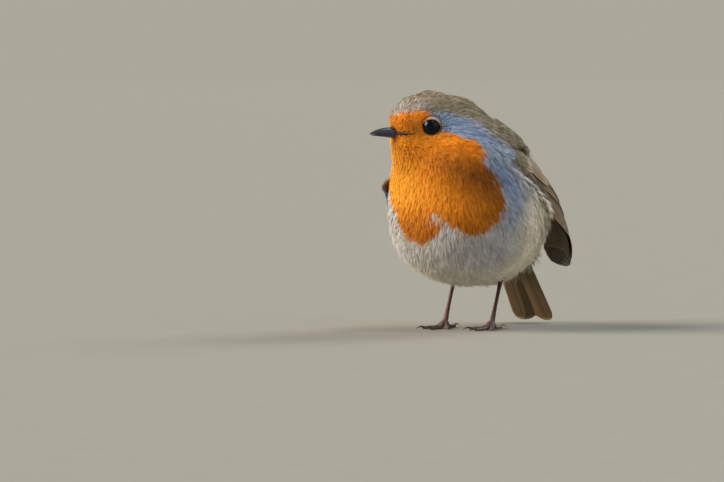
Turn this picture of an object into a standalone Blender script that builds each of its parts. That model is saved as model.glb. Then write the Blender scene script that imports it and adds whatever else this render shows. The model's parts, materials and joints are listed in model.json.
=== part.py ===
"""A European robin, Erithacus rubecula, as a still life-size model that stands on the floor.

+X is the bird's left, +Y is towards its tail and +Z is up. The breast faces -Y, and the head is turned to the
bird's right. The origin is on the floor, under the middle of the whole bird.

The plumage surface is modelled whole, out to the tips of the feathers, from a few rounded masses that are
joined and smoothed. Thin cuts part it into head, neck, trunk and rump. Wings, tail, bill, eyes, legs, feet and
claws are pieces of their own, and the plumage is cut back round them by a small gap.
"""

import math

import bmesh
import bpy
from mathutils import Matrix, Vector

mm = 0.001

# Clearances
GAP = 0.3 * mm
BILL_GAPE = 0.2 * mm

# Where the body stands over the feet, and where the bounding box has its middle
BODY_PLACE = Vector((0.0, 2.0, 0.0)) * mm
ORIGIN_SHIFT = Vector((0.4, -5.6, 0.0)) * mm

# Plumage: voxel size of the joined masses, and how far their creases are smoothed
PLUMAGE_VOXEL = 4.15 * mm
PLUMAGE_SMOOTHING = 4

# Head: its own frame sits at the middle of the skull, turned to the bird's right
HEAD_CENTRE = Vector((-6.3, -27.9, 78.8)) * mm
HEAD_TURN = 43.0
BILL_LIFT = 3.7
HEAD_HALF_LENGTH = 16.3 * mm
HEAD_HALF_WIDTH = 11.4 * mm
HEAD_HALF_HEIGHT = 13.0 * mm

# Eyes
EYE_RADIUS = 3.7 * mm
EYE_FORWARD = 2.8 * mm
EYE_OUT = 8.6 * mm
EYE_DROP = 1.65 * mm

# Bill: distances run forward from the head's centre, heights from the line where the mandibles meet
BILL_LINE_DROP = 5.6 * mm
BILL_ROOT = 10.2 * mm
BILL_TIP = 23.4 * mm
BILL_HALF_WIDTH = 2.5 * mm
CULMEN_HEIGHT = 2.9 * mm
LOWER_BILL_DEPTH = 1.7 * mm

# Wings: folded, hanging a little off the flanks
WRIST_LEFT = Vector((23.0, -24.0, 65.0)) * mm
TIP_LEFT = Vector((26.0, 35.0, 21.6)) * mm
WRIST_RIGHT = Vector((-27.0, -24.0, 53.0)) * mm
TIP_RIGHT = Vector((-22.0, 36.0, 22.0)) * mm
WING_BOW = 5.0 * mm
WING_WIDTH = 19.0 * mm
WING_THICKNESS = 3.4 * mm
WING_EDGE = 0.6 * mm

# Tail: twelve long feathers closed into a narrow fan
TAIL_ROOT = Vector((-1.0, 19.5, 45.4)) * mm
TAIL_LENGTH = 56.0 * mm
TAIL_DROP = 52.0
TAIL_TURN = 4.0
TAIL_FEATHERS = 12
TAIL_FEATHER_WIDTH = 5.4 * mm
TAIL_FEATHER_THICKNESS = 0.55 * mm
TAIL_FAN = 6.0
TAIL_ROOT_SPREAD = 2.4 * mm
TAIL_STEP = 0.32 * mm

# Legs and feet
LEG_LEFT = 7.4 * mm
LEG_RIGHT = -12.2 * mm
SHANK_TOP_BACK = 7.2 * mm
SHANK_TOP_HEIGHT = 22.5 * mm
SHANK_RADIUS = 0.72 * mm
ANKLE_RADIUS = 1.25 * mm
FOOT_JOINT_HEIGHT = 2.3 * mm
FOOT_JOINT_RADIUS = 1.35 * mm
THIGH_RADIUS = 3.4 * mm
TOE_RADIUS = 0.78 * mm
TOE_SINK = 0.5
FOOT_VOXEL = 0.32 * mm
FOOT_KEPT = 0.09
CLAW_RADIUS = 0.5 * mm
# toe: angle from straight ahead in degrees (positive is towards the bird's midline), length, claw length
TOES = {
    "hallux": (180.0, 8.6 * mm, 5.2 * mm),
    "inner_toe": (33.0, 9.6 * mm, 3.6 * mm),
    "middle_toe": (2.0, 13.6 * mm, 4.2 * mm),
    "outer_toe": (-27.0, 10.4 * mm, 3.6 * mm),
}


# ------------------------------------------------------------------ scene and materials


def clear_scene():
    for old in list(bpy.data.objects):
        bpy.data.objects.remove(old)


def new_collection(name):
    made = bpy.data.collections.new(name)
    bpy.context.scene.collection.children.link(made)
    return made


def finish(name, colour, roughness):
    """A Principled BSDF of one colour (sRGB, 0 to 1)."""
    made = bpy.data.materials.new(name)
    made.use_nodes = True
    made.diffuse_color = (*colour, 1.0)
    shader = made.node_tree.nodes["Principled BSDF"]
    shader.inputs["Base Color"].default_value = (*(c**2.2 for c in colour), 1.0)
    shader.inputs["Roughness"].default_value = roughness
    shader.inputs["Metallic"].default_value = 0.0
    return made


def finishes():
    return {
        "plumage_orange": finish("plumage_orange", (0.86, 0.46, 0.11), 0.85),
        "plumage_brown": finish("plumage_brown", (0.47, 0.43, 0.36), 0.85),
        "plumage_white": finish("plumage_white", (0.78, 0.76, 0.72), 0.85),
        "flight_feathers": finish("flight_feathers", (0.33, 0.27, 0.21), 0.7),
        "bill_horn": finish("bill_horn", (0.13, 0.12, 0.14), 0.4),
        "eye": finish("eye", (0.03, 0.02, 0.02), 0.08),
        "leg_skin": finish("leg_skin", (0.42, 0.26, 0.20), 0.55),
        "claw_horn": finish("claw_horn", (0.16, 0.12, 0.12), 0.45),
    }


def add_object(name, mesh, collection, material=None, smooth_below=math.radians(60)):
    obj = bpy.data.objects.new(name, mesh)
    collection.objects.link(obj)
    if material is not None:
        mesh.materials.clear()
        mesh.materials.append(material)
    mesh.shade_smooth()
    mesh.set_sharp_from_angle(angle=smooth_below)
    return obj


def add_cutter(name, mesh, helpers):
    obj = bpy.data.objects.new(name, mesh)
    helpers.objects.link(obj)
    obj.hide_render = True
    obj.display_type = "WIRE"
    return obj


def combine(obj, other, operation):
    change = obj.modifiers.new(f"{operation.lower()}_{other.name}", "BOOLEAN")
    change.operation = operation
    change.solver = "EXACT"
    change.object = other


def evaluated_mesh(obj):
    bpy.context.view_layer.update()
    graph = bpy.context.evaluated_depsgraph_get()
    return bpy.data.meshes.new_from_object(obj.evaluated_get(graph))


# ------------------------------------------------------------------ shapes


def mesh_from(bm, name):
    bmesh.ops.recalc_face_normals(bm, faces=bm.faces)
    bmesh.ops.triangulate(bm, faces=bm.faces)
    mesh = bpy.data.meshes.new(name)
    bm.to_mesh(mesh)
    bm.free()
    return mesh


def loft(name, rings):
    """A closed solid through rings that each have the same number of points."""
    bm = bmesh.new()
    rows = [[bm.verts.new(p) for p in ring] for ring in rings]
    for row, after in zip(rows, rows[1:]):
        for i in range(len(row)):
            j = (i + 1) % len(row)
            bm.faces.new((row[i], row[j], after[j], after[i]))
    bm.faces.new(reversed(rows[0]))
    bm.faces.new(rows[-1])
    return mesh_from(bm, name)


def tube(name, points, radii, helpers):
    """A round tube with filled caps whose radius changes along it, as a closed mesh."""
    curve = bpy.data.curves.new(name, "CURVE")
    curve.dimensions = "3D"
    curve.bevel_depth = 1.0
    curve.bevel_resolution = 2
    curve.use_fill_caps = True
    spline = curve.splines.new("POLY")
    spline.points.add(len(points) - 1)
    for knot, place, radius in zip(spline.points, points, radii):
        knot.co = (*place, 1.0)
        knot.radius = radius
    guide = bpy.data.objects.new(name, curve)
    helpers.objects.link(guide)
    mesh = evaluated_mesh(guide)
    bpy.data.objects.remove(guide)
    bm = bmesh.new()
    bm.from_mesh(mesh)
    bmesh.ops.remove_doubles(bm, verts=bm.verts, dist=0.001 * mm)
    return mesh_from(bm, name)


def rounded_end(i, count):
    """Stations from 0 to 1 that crowd towards 1, where a blade rounds off."""
    return math.sin(math.pi / 2 * i / (count - 1))


def smooth_step(x, low, high):
    t = min(1.0, max(0.0, (x - low) / (high - low)))
    return t * t * (3 - 2 * t)


# ------------------------------------------------------------------ plumage


def mass(bm, centre, radii, pitch=0.0, frame=Matrix.Identity(4)):
    """One rounded mass of the plumage. A positive pitch drops its rear."""
    place = Matrix.Translation(Vector(centre) * mm) @ Matrix.Rotation(math.radians(-pitch), 4, "X")
    size = Matrix.Diagonal((*(Vector(radii) * mm), 1.0))
    bmesh.ops.create_uvsphere(bm, u_segments=48, v_segments=32, radius=1.0, matrix=frame @ place @ size)


def plumage_mesh(helpers):
    """The whole outer surface of the small feathers, smoothed where the masses meet."""
    bm = bmesh.new()
    head = head_matrix()
    skull = Vector((HEAD_HALF_WIDTH, HEAD_HALF_LENGTH, HEAD_HALF_HEIGHT)) / mm
    mass(bm, (0.0, 0.0, 0.0), skull, frame=head)
    mass(bm, (0.0, -3.6, -4.0), (10.6, 12.4, 9.6), frame=head)  # cheeks
    mass(bm, (0.0, -5.6, -11.0), (8.6, 9.4, 7.4), frame=head)  # chin
    mass(bm, (0.0, 9.2, -2.2), (11.6, 12.8, 13.4), frame=head)  # nape
    mass(bm, (-2.0, -20.5, 65.0), (19.0, 19.0, 16.5))  # throat and side of the neck
    mass(bm, (0.4, -7.0, 50.0), (29.6, 38.6, 28.6), pitch=45.0)  # trunk
    mass(bm, (0.7, -12.6, 44.6), (29.3, 28.4, 28.2))  # breast and belly
    mass(bm, (0.0, 18.0, 37.0), (14.0, 22.5, 12.5), pitch=50.0)  # rump and undertail coverts
    joined = bpy.data.objects.new("masses", mesh_from(bm, "masses"))
    helpers.objects.link(joined)
    remesh = joined.modifiers.new("join", "REMESH")
    remesh.mode = "VOXEL"
    remesh.voxel_size = PLUMAGE_VOXEL
    smooth = joined.modifiers.new("soften", "SMOOTH")
    smooth.factor = 0.5
    smooth.iterations = PLUMAGE_SMOOTHING
    mesh = evaluated_mesh(joined)
    bpy.data.objects.remove(joined)
    return mesh


def part_of(whole, name, planes):
    """The part of a closed mesh behind every plane, with the cuts filled. A plane is (point, normal)."""
    bm = bmesh.new()
    bm.from_mesh(whole)
    for point, normal in planes:
        everything = bm.verts[:] + bm.edges[:] + bm.faces[:]
        cut = bmesh.ops.bisect_plane(
            bm, geom=everything, dist=1e-7, plane_co=point, plane_no=normal, clear_outer=True
        )
        rim = [e for e in cut["geom_cut"] if isinstance(e, bmesh.types.BMEdge)]
        bmesh.ops.holes_fill(bm, edges=rim)
    return mesh_from(bm, name)


def plumage_parts(whole, parts, looks):
    """Head, neck, trunk and rump, each behind its own pair of cuts."""
    neck_axis = Vector((0.22, 0.50, -0.84)).normalized()  # from the head down into the trunk
    rump_axis = Vector((0.0, 0.64, -0.77)).normalized()  # along the rump to the tail
    head_cut = Vector((-4.0, -24.5, 70.5)) * mm
    neck_cut = head_cut + 8.5 * mm * neck_axis
    rump_cut = Vector((0.0, 22.0, 37.0)) * mm
    cuts = {
        "head": [(head_cut, neck_axis)],
        "neck": [(head_cut + GAP * neck_axis, -neck_axis), (neck_cut, neck_axis)],
        "trunk": [(neck_cut + GAP * neck_axis, -neck_axis), (rump_cut, rump_axis)],
        "rump": [(rump_cut + GAP * rump_axis, -rump_axis)],
    }
    material = {"head": "plumage_orange", "neck": "plumage_orange", "trunk": "plumage_white", "rump": "plumage_brown"}
    return {
        name: add_object(name, part_of(whole, name, planes), parts, looks[material[name]])
        for name, planes in cuts.items()
    }


# ------------------------------------------------------------------ head


def head_matrix():
    """From the head's frame (+X its left, -Y forward) to the body's."""
    turn = Matrix.Rotation(math.radians(-HEAD_TURN), 4, "Z")
    return Matrix.Translation(HEAD_CENTRE) @ turn @ Matrix.Rotation(math.radians(-BILL_LIFT), 4, "X")


def eye_mesh(name, side, grow=0.0):
    place = head_matrix() @ Matrix.Translation((side * EYE_OUT, -EYE_FORWARD, -EYE_DROP))
    aim = Matrix.Rotation(math.radians(90), 4, "Y")  # poles to the sides
    bm = bmesh.new()
    bmesh.ops.create_uvsphere(bm, u_segments=14, v_segments=9, radius=EYE_RADIUS + grow, matrix=place @ aim)
    return mesh_from(bm, name)


def bill_mesh(name, upper, grow=0.0):
    """One mandible, a loft of half rounds from the gape to the tip."""
    rings = []
    steps, around = 8, 7
    for i in range(steps):
        t = i / (steps - 1)
        forward = BILL_ROOT + (BILL_TIP - BILL_ROOT) * t
        width = BILL_HALF_WIDTH * (1 - t) ** 0.8 + 0.28 * mm
        if upper:
            height = CULMEN_HEIGHT * (1 - t**1.7) ** 0.9 + 0.32 * mm
        else:
            forward -= 0.7 * mm * t
            height = LOWER_BILL_DEPTH * (1 - t**2.2) ** 0.8 + 0.28 * mm
        hook = 0.35 * mm * t**4
        sign = 1 if upper else -1
        base = -BILL_LINE_DROP - hook + sign * (BILL_GAPE / 2 - grow)
        ring = []
        for k in range(around):
            a = math.pi * k / (around - 1)
            ring.append((math.cos(a) * (width + grow), -forward - grow * t, base + sign * math.sin(a) * (height + 2 * grow)))
        rings.append([head_matrix() @ Vector(p) for p in ring])
    return loft(name, rings)


# ------------------------------------------------------------------ wings


def wing_width(s):
    """Width of the folded wing at s from wrist (0) to tip (1), and how far its leading edge is set in there."""
    rise = math.sqrt(min(1.0, (s + 0.04) / 0.34))
    taper = 1 - 0.34 * smooth_step(s, 0.45, 0.9)
    tip = math.sqrt(max(0.0, 1 - (max(0.0, s - 0.88) / 0.1203) ** 2))
    full = WING_WIDTH * rise * taper
    return full * tip, 0.3 * full * (1 - tip)


def wing_frame(side, s):
    """The leading edge's point at s, with the directions across the wing and out of its upper face."""
    wrist, tip = (WRIST_LEFT, TIP_LEFT) if side > 0 else (WRIST_RIGHT, TIP_RIGHT)
    edge = wrist.lerp(tip, s) + Vector((side * WING_BOW * 4 * s * (1 - s), 0, 0))
    along = (tip - wrist).normalized()
    lay = smooth_step(s, 0.25, 1.0)  # the upper face turns from sideways to backwards and up
    face = Vector((side * 0.86, 0.0, 0.5)).lerp(Vector((side * 0.42, 0.62, 0.66)), lay)
    across = face.cross(along) * side
    across = (across - across.dot(along) * along).normalized()
    out = across.cross(along).normalized() * -side
    return edge, across, out


def wing_mesh(name, side, grow=0.0, outwards=0.0):
    """A cambered strip from wrist to tip. Grow widens it all round, and outwards thickens its upper side."""
    rings = []
    steps, across_steps = 16, 5
    for i in range(steps):
        s = rounded_end(i, steps)
        edge, across, out = wing_frame(side, s)
        width, inset = wing_width(s)
        width += 2 * grow
        thick = WING_EDGE + (WING_THICKNESS - WING_EDGE) * (1 - smooth_step(s, 0.3, 0.85)) * min(1.0, s / 0.2 + 0.35)
        upper, lower = [], []
        for k in range(across_steps):
            b = k / (across_steps - 1)
            swell = math.sin(math.pi * b)
            camber = 0.16 * width * swell
            place = edge + across * (inset + b * width - grow) + out * camber
            half = WING_EDGE / 2 + (thick - WING_EDGE) / 2 * swell
            upper.append(place + out * (half + grow + outwards))
            lower.append(place - out * (half + grow))
        rings.append(upper + lower[::-1])
    return loft(name, rings)


# ------------------------------------------------------------------ tail


def tail_matrix():
    """From the tail's frame (+Y along it, +Z out of its upper side) to the body's."""
    turn = Matrix.Rotation(math.radians(-TAIL_TURN), 4, "Z")
    return Matrix.Translation(TAIL_ROOT) @ turn @ Matrix.Rotation(math.radians(-TAIL_DROP), 4, "X")


def tail_feather(name, index):
    """One blade with a rounded tip. Outer feathers lie lower in the stack and fan out."""
    place = index - (TAIL_FEATHERS - 1) / 2
    half_count = (TAIL_FEATHERS - 1) / 2
    outer = abs(place) / half_count
    side = 1 if place > 0 else -1
    length = TAIL_LENGTH * (1 - 0.05 * (1 - outer) ** 2 - 0.02 * outer**3)
    rings = []
    steps, around = 7, 6
    for i in range(steps):
        t = rounded_end(i, steps)
        tip = math.sqrt(max(0.0, 1 - (max(0.0, t - 0.86) / 0.143) ** 2))
        half = TAIL_FEATHER_WIDTH / 2 * (0.55 + 0.45 * smooth_step(t, 0.0, 0.5)) * max(tip, 0.08)
        ring = []
        for k in range(around):
            a = math.tau * k / around
            across = math.cos(a) * half
            rise = math.sin(a) * TAIL_FEATHER_THICKNESS / 2 * (1.25 - 0.25 * t)
            ring.append(Vector((across, t * length, rise - TAIL_STEP * abs(place) - 0.04 * mm * (place > 0))))
        rings.append(ring)
    splay = Matrix.Rotation(-math.radians(TAIL_FAN / 2) * side * outer, 4, "Z")
    shift = Matrix.Translation((side * outer * TAIL_ROOT_SPREAD, 0, 0))
    return loft(name, [[tail_matrix() @ shift @ splay @ p for p in ring] for ring in rings])


def make_tail(parts, helpers, look):
    """The twelve blades joined into one fan."""
    centre = TAIL_FEATHERS // 2
    tail = add_object("tail", tail_feather("tail", centre), parts, look)
    for index in range(TAIL_FEATHERS):
        if index != centre:
            combine(tail, add_cutter(f"tail_feather_{index}", tail_feather("blade", index), helpers), "UNION")
    return tail


def tail_pocket(name):
    """A flat wedge round the tail's root, a gap larger than the fan."""
    rings = []
    for t, half in ((-0.02, 5.8 * mm), (0.5, 9.2 * mm), (1.0, 11.6 * mm)):
        low, high = -TAIL_STEP * TAIL_FEATHERS / 2 - 0.75 * mm, 0.75 * mm
        rings.append([Vector((x, t * TAIL_LENGTH, z)) for x, z in ((-half, low), (half, low), (half, high), (-half, high))])
    return loft(name, [[tail_matrix() @ p for p in ring] for ring in rings])


# ------------------------------------------------------------------ legs


def leg_points(x):
    return Vector((x, SHANK_TOP_BACK, SHANK_TOP_HEIGHT)), Vector((x, 0.0, FOOT_JOINT_HEIGHT))


def shank_mesh(name, x, helpers, grow=0.0):
    """The scaled leg from inside the belly feathers down to just above the foot."""
    top, joint = leg_points(x)
    low = joint + (top - joint).normalized() * (FOOT_JOINT_RADIUS + 0.25 * mm)
    stations = [0.0, 0.08, 0.3, 0.6, 0.85, 1.0]
    radii = [1.05 * mm, 0.9 * mm, SHANK_RADIUS, SHANK_RADIUS, 0.95 * mm, ANKLE_RADIUS]
    stations[-1] += grow / (top - low).length
    return tube(name, [low.lerp(top, t) for t in stations], [r + grow for r in radii], helpers)


def toe_path(x, side, toe):
    """Points along a toe from the foot joint, level once it has come down to the floor."""
    angle, length, _ = TOES[toe]
    heading = math.radians(angle)
    forward = Vector((-side * math.sin(heading), -math.cos(heading), 0.0))
    level = TOE_RADIUS * (1 - TOE_SINK)
    start = Vector((x, 0.0, FOOT_JOINT_HEIGHT))
    heights = [start.z, start.z * 0.8, level + 0.35 * mm, level, level + 0.18 * mm, level, level]
    shares = [0.03, 0.14, 0.3, 0.48, 0.62, 0.8, 1.0]
    return [Vector((x, 0, 0)) + forward * length * t + Vector((0, 0, z)) for t, z in zip(shares, heights)], forward


def toe_mesh(name, x, side, toe, helpers):
    points, _ = toe_path(x, side, toe)
    radii = [1.1 * mm, 1.0 * mm, 0.9 * mm, TOE_RADIUS, 0.7 * mm, TOE_RADIUS, 0.6 * mm]
    return tube(name, points, radii, helpers)


def foot_mesh(name, x, side, helpers):
    """The joint and the four toes grown together in one skin, with flats under the toes at floor level."""
    bm = bmesh.new()
    joint = Matrix.Translation((x, 0.0, FOOT_JOINT_HEIGHT))
    bmesh.ops.create_uvsphere(bm, u_segments=16, v_segments=10, radius=FOOT_JOINT_RADIUS, matrix=joint)
    for toe in TOES:
        bm.from_mesh(toe_mesh(toe, x, side, toe, helpers))
    joined = bpy.data.objects.new(name, mesh_from(bm, name))
    helpers.objects.link(joined)
    remesh = joined.modifiers.new("join", "REMESH")
    remesh.mode = "VOXEL"
    remesh.voxel_size = FOOT_VOXEL
    smooth = joined.modifiers.new("soften", "SMOOTH")
    smooth.factor = 0.5
    smooth.iterations = 2
    fewer = joined.modifiers.new("fewer", "DECIMATE")
    fewer.ratio = FOOT_KEPT
    mesh = evaluated_mesh(joined)
    bpy.data.objects.remove(joined)
    for vertex in mesh.vertices:
        vertex.co.z = max(vertex.co.z, 0.0)
    return mesh


def claw_mesh(name, x, side, toe, helpers):
    """A curved cone that rises from the toe's end and comes down to a point just off the floor."""
    points, forward = toe_path(x, side, toe)
    length = TOES[toe][2]
    root = points[-1] + forward * 0.35 * mm + Vector((0.0, 0.0, 0.25 * mm))
    stations = [0.0, 0.33, 0.67, 1.0]
    path, radii = [], []
    for t in stations:
        arch = math.sin(math.pi * t * 0.8) * 0.16 * length
        fall = (root.z - 0.4 * mm) * t**1.6
        path.append(root + forward * length * t * 0.93 + Vector((0, 0, arch - fall)))
        radii.append(CLAW_RADIUS * (1 - 0.62 * t))
    return tube(name, path, radii, helpers)


def thigh_mesh(name, x, helpers, grow=0.0):
    """The feathered knob that the shank comes out of."""
    top, joint = leg_points(x)
    down = (joint - top).normalized()
    centre = top - down * 1.5 * mm
    stations = [-5.0 * mm, -1.0 * mm, 2.5 * mm, 4.6 * mm]
    radii = [THIGH_RADIUS + grow, THIGH_RADIUS + grow, 2.6 * mm + grow, 1.5 * mm + grow]
    return tube(name, [centre + down * t for t in stations], radii, helpers)


# ------------------------------------------------------------------ the bird


def build():
    clear_scene()
    parts = new_collection("robin")
    helpers = new_collection("robin_helpers")
    looks = finishes()

    whole = plumage_mesh(helpers)
    plumage = plumage_parts(whole, parts, looks)

    for side, word in ((1, "left"), (-1, "right")):
        add_object(f"eye_{word}", eye_mesh("eye", side), parts, looks["eye"])
        combine(plumage["head"], add_cutter(f"orbit_{word}", eye_mesh("orbit", side, GAP), helpers), "DIFFERENCE")

        add_object(f"wing_{word}", wing_mesh("wing", side), parts, looks["flight_feathers"])
        pocket = add_cutter(f"wing_pocket_{word}", wing_mesh("pocket", side, GAP, 12 * mm), helpers)
        for name in ("neck", "trunk", "rump"):
            combine(plumage[name], pocket, "DIFFERENCE")

    for word, upper in (("upper", True), ("lower", False)):
        add_object(f"{word}_bill", bill_mesh("bill", upper), parts, looks["bill_horn"])
        socket = add_cutter(f"{word}_bill_socket", bill_mesh("socket", upper, GAP), helpers)
        combine(plumage["head"], socket, "DIFFERENCE")

    make_tail(parts, helpers, looks["flight_feathers"])
    slot = tail_pocket("tail_pocket")
    combine(plumage["rump"], add_cutter("tail_pocket", slot, helpers), "DIFFERENCE")
    combine(plumage["trunk"], bpy.data.objects["tail_pocket"], "DIFFERENCE")

    for side, word, x in ((1, "left", LEG_LEFT), (-1, "right", LEG_RIGHT)):
        add_object(f"shank_{word}", shank_mesh("shank", x, helpers), parts, looks["leg_skin"])
        thigh = add_object(f"thigh_{word}", thigh_mesh("thigh", x, helpers), parts, looks["plumage_white"])
        sleeve = add_cutter(f"shank_sleeve_{word}", shank_mesh("sleeve", x, helpers, GAP), helpers)
        hollow = add_cutter(f"hip_{word}", thigh_mesh("hip", x, helpers, GAP), helpers)
        combine(thigh, sleeve, "DIFFERENCE")
        for name in ("trunk", "rump"):
            combine(plumage[name], hollow, "DIFFERENCE")
            combine(plumage[name], sleeve, "DIFFERENCE")
        add_object(f"foot_{word}", foot_mesh("foot", x, side, helpers), parts, looks["leg_skin"])
        for toe in TOES:
            claw = claw_mesh("claw", x, side, toe, helpers)
            add_object(f"{toe}_claw_{word}", claw, parts, looks["claw_horn"])

    # The body's pieces are modelled round the body's own middle, the legs round the feet.
    standing = ("shank", "thigh", "hip", "foot", "claw")
    for obj in list(parts.objects) + list(helpers.objects):
        on_feet = any(word in obj.name for word in standing)
        obj.location = ORIGIN_SHIFT + (Vector() if on_feet else BODY_PLACE)


build()
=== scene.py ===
# %% [markdown]
# # A robin in its feathers
# The solids loaded here are a life-size European robin, modelled out to the tips of its feathers: head,
# neck, trunk, rump, wings, tail, bill, eyes, legs and feet. This lesson dresses them. One skin is grown
# from the solids of flesh, drawn in by the depth of the plumage, and tens of thousands of small feathers
# are planted on it along the lie of the coat. Wings and tail are laid feather by feather. Bill, eyes, legs
# and claws get shapes and finishes of their own.

# %% Load the frame
import json
import math
import random

import bmesh
import bpy
import numpy as np
from mathutils import Matrix, Vector
from mathutils.bvhtree import BVHTree
from mathutils.kdtree import KDTree

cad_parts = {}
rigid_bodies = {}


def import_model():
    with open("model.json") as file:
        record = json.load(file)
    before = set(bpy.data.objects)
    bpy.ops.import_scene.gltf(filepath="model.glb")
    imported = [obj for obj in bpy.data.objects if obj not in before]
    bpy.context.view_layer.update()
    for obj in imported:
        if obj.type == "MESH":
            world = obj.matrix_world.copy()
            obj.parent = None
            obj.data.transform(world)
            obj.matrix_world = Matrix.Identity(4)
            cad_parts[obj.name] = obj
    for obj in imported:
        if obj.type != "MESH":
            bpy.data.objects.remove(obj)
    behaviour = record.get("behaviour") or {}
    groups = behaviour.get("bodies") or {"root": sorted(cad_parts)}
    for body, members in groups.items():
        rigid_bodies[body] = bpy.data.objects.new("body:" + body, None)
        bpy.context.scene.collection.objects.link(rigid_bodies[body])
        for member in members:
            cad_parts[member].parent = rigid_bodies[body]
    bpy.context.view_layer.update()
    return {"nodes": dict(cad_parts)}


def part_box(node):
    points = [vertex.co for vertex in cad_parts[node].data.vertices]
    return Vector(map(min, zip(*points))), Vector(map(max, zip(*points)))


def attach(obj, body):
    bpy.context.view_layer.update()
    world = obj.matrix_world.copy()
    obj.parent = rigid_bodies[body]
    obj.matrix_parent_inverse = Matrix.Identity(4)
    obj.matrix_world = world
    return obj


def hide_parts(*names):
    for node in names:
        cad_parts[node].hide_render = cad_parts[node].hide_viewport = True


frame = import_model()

MM = 0.001


# %% [markdown]
# A few small helpers serve the whole lesson. Colours are written as the hex values that a paint chart would
# give, which are sRGB, while shaders work in linear light, so one function converts them. Another adds a
# node with its settings and links, and a third lays colours over one another by their masks.

# %% Colours and nodes


def linear(colour):
    """A hex colour as the linear RGBA that shaders expect."""
    parts = [int(colour[i : i + 2], 16) / 255 for i in (1, 3, 5)]
    return (*(c / 12.92 if c <= 0.04045 else ((c + 0.055) / 1.055) ** 2.4 for c in parts), 1.0)


def feed(tree, node, inputs):
    """Gives a node's inputs their values, hex colours or the sockets that feed them.

    inputs goes by the socket's name or number, or is a tuple in the order of the sockets.
    """
    for key, value in inputs.items() if isinstance(inputs, dict) else enumerate(inputs):
        if isinstance(value, bpy.types.NodeSocket):
            tree.links.new(value, node.inputs[key])
        elif isinstance(value, str) and value.startswith("#"):
            node.inputs[key].default_value = linear(value)
        else:
            node.inputs[key].default_value = value


def add(tree, kind, inputs=(), **settings):
    """A new node with its settings and links."""
    made = tree.nodes.new(kind)
    for key, value in settings.items():
        setattr(made, key, value)
    feed(tree, made, inputs)
    return made


def paint(tree, colour, *layers):
    """A colour with layers over it, each written (where it shows, its colour).

    A colour is a hex value, a socket, or (how far, from one colour, to another).
    """
    if isinstance(colour, tuple):
        how_far, one, other = colour
        colour, layers = one, ((how_far, other), *layers)
    for where, over in layers:
        mixed = {0: where, 6: colour, 7: paint(tree, over)}
        colour = add(tree, "ShaderNodeMix", mixed, data_type="RGBA").outputs[2]
    return colour


def material(name, roughness, specular=0.5, coat=0.0):
    """A new material, its tree and its shader, ready to be fed."""
    made = bpy.data.materials.new(name)
    made.use_nodes = True
    tree = made.node_tree
    shader = tree.nodes["Principled BSDF"]
    feed(tree, shader, {"Roughness": roughness, "Specular IOR Level": specular, "Coat Weight": coat})
    return made, tree, shader


# %% [markdown]
# The other helpers turn what modifiers or lofts make into finished pieces at the origin. Each piece is
# fixed to the model's body and hides the solids it stands in for.

# %% Pieces


def new_object(name, data):
    """An object in the scene that shows the given mesh, light or camera."""
    made = bpy.data.objects.new(name, data)
    bpy.context.scene.collection.objects.link(made)
    return made


def object_from(bm, name):
    """The edited mesh as an object, with its normals outward."""
    bmesh.ops.recalc_face_normals(bm, faces=bm.faces)
    mesh = bpy.data.meshes.new(name)
    bm.to_mesh(mesh)
    bm.free()
    return new_object(name, mesh)


def plain(obj, name):
    """The evaluated shape of obj as a mesh object with no modifiers. The old object is removed."""
    bpy.context.view_layer.update()
    mesh = bpy.data.meshes.new_from_object(obj.evaluated_get(bpy.context.evaluated_depsgraph_get()))
    mesh.name = name
    bpy.data.objects.remove(obj)
    return new_object(name, mesh)


def part_of(mesh, keep):
    """A copy of mesh with the faces that keep chooses by the numbers of their points."""
    bm = bmesh.new()
    bm.from_mesh(mesh)
    others = [face for face in bm.faces if not keep([v.index for v in face.verts])]
    bmesh.ops.delete(bm, geom=others, context="FACES")
    made = bpy.data.meshes.new("plot")
    bm.to_mesh(made)
    bm.free()
    return made


def triangles(obj):
    obj.data.calc_loop_triangles()
    return len(obj.data.loop_triangles)


def place_piece(obj, node_names):
    """Fixes obj to the body, in place of the named solids."""
    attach(obj, "root")
    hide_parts(*node_names)
    print(obj.name, triangles(obj), "triangles")


def finished(obj, node_names, finish):
    """Gives obj its material and its place in the model."""
    obj.data.materials.clear()
    obj.data.materials.append(finish)
    obj.data.shade_smooth()
    place_piece(obj, node_names)


# %% [markdown]
# Much of the bird is worked out on arrays, one row to a point of a mesh: where points are, how far a value
# has gone from one bound to another, and directions laid flat on a surface.

# %% Work on many points at once


def vertex_array(mesh):
    co = np.empty(len(mesh.vertices) * 3)
    mesh.vertices.foreach_get("co", co)
    return co.reshape(-1, 3)


def smooth(x, low, high):
    """0 at low, 1 at high, and an even ease between them. low may be the larger."""
    t = np.clip((np.asarray(x, float) - low) / (high - low), 0.0, 1.0)
    return t * t * (3 - 2 * t)


def flattened(directions, normals):
    """Directions pressed flat onto a surface with these normals, each one unit long."""
    flat = directions - np.einsum("ij,ij->i", directions, normals)[:, None] * normals
    return flat / (np.linalg.norm(flat, axis=1)[:, None] + 1e-9)


def finder(places):
    """A tree that finds the nearest of the given points."""
    tree = KDTree(len(places))
    for k, place in enumerate(places):
        tree.insert(place, k)
    tree.balance()
    return tree


def store(mesh, floats, vectors):
    """Keeps arrays of numbers and of vectors on the mesh's points, by name."""
    for name, values in floats.items():
        mesh.attributes.new(name, "FLOAT", "POINT").data.foreach_set("value", np.float32(values))
    for name, values in vectors.items():
        made = mesh.attributes.new(name, "FLOAT_VECTOR", "POINT")
        made.data.foreach_set("vector", np.float32(values).ravel())


# %% [markdown]
# Everything is placed from the solids. The line between the two eyes gives the turned head its own
# directions. The root and slope of the tail, the bend and tip of each wing and the upright axis of the
# trunk are measured places on them.

# %% Landmarks
SIDES = {1: "left", -1: "right"}  # the bird's own left is towards +X


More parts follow.
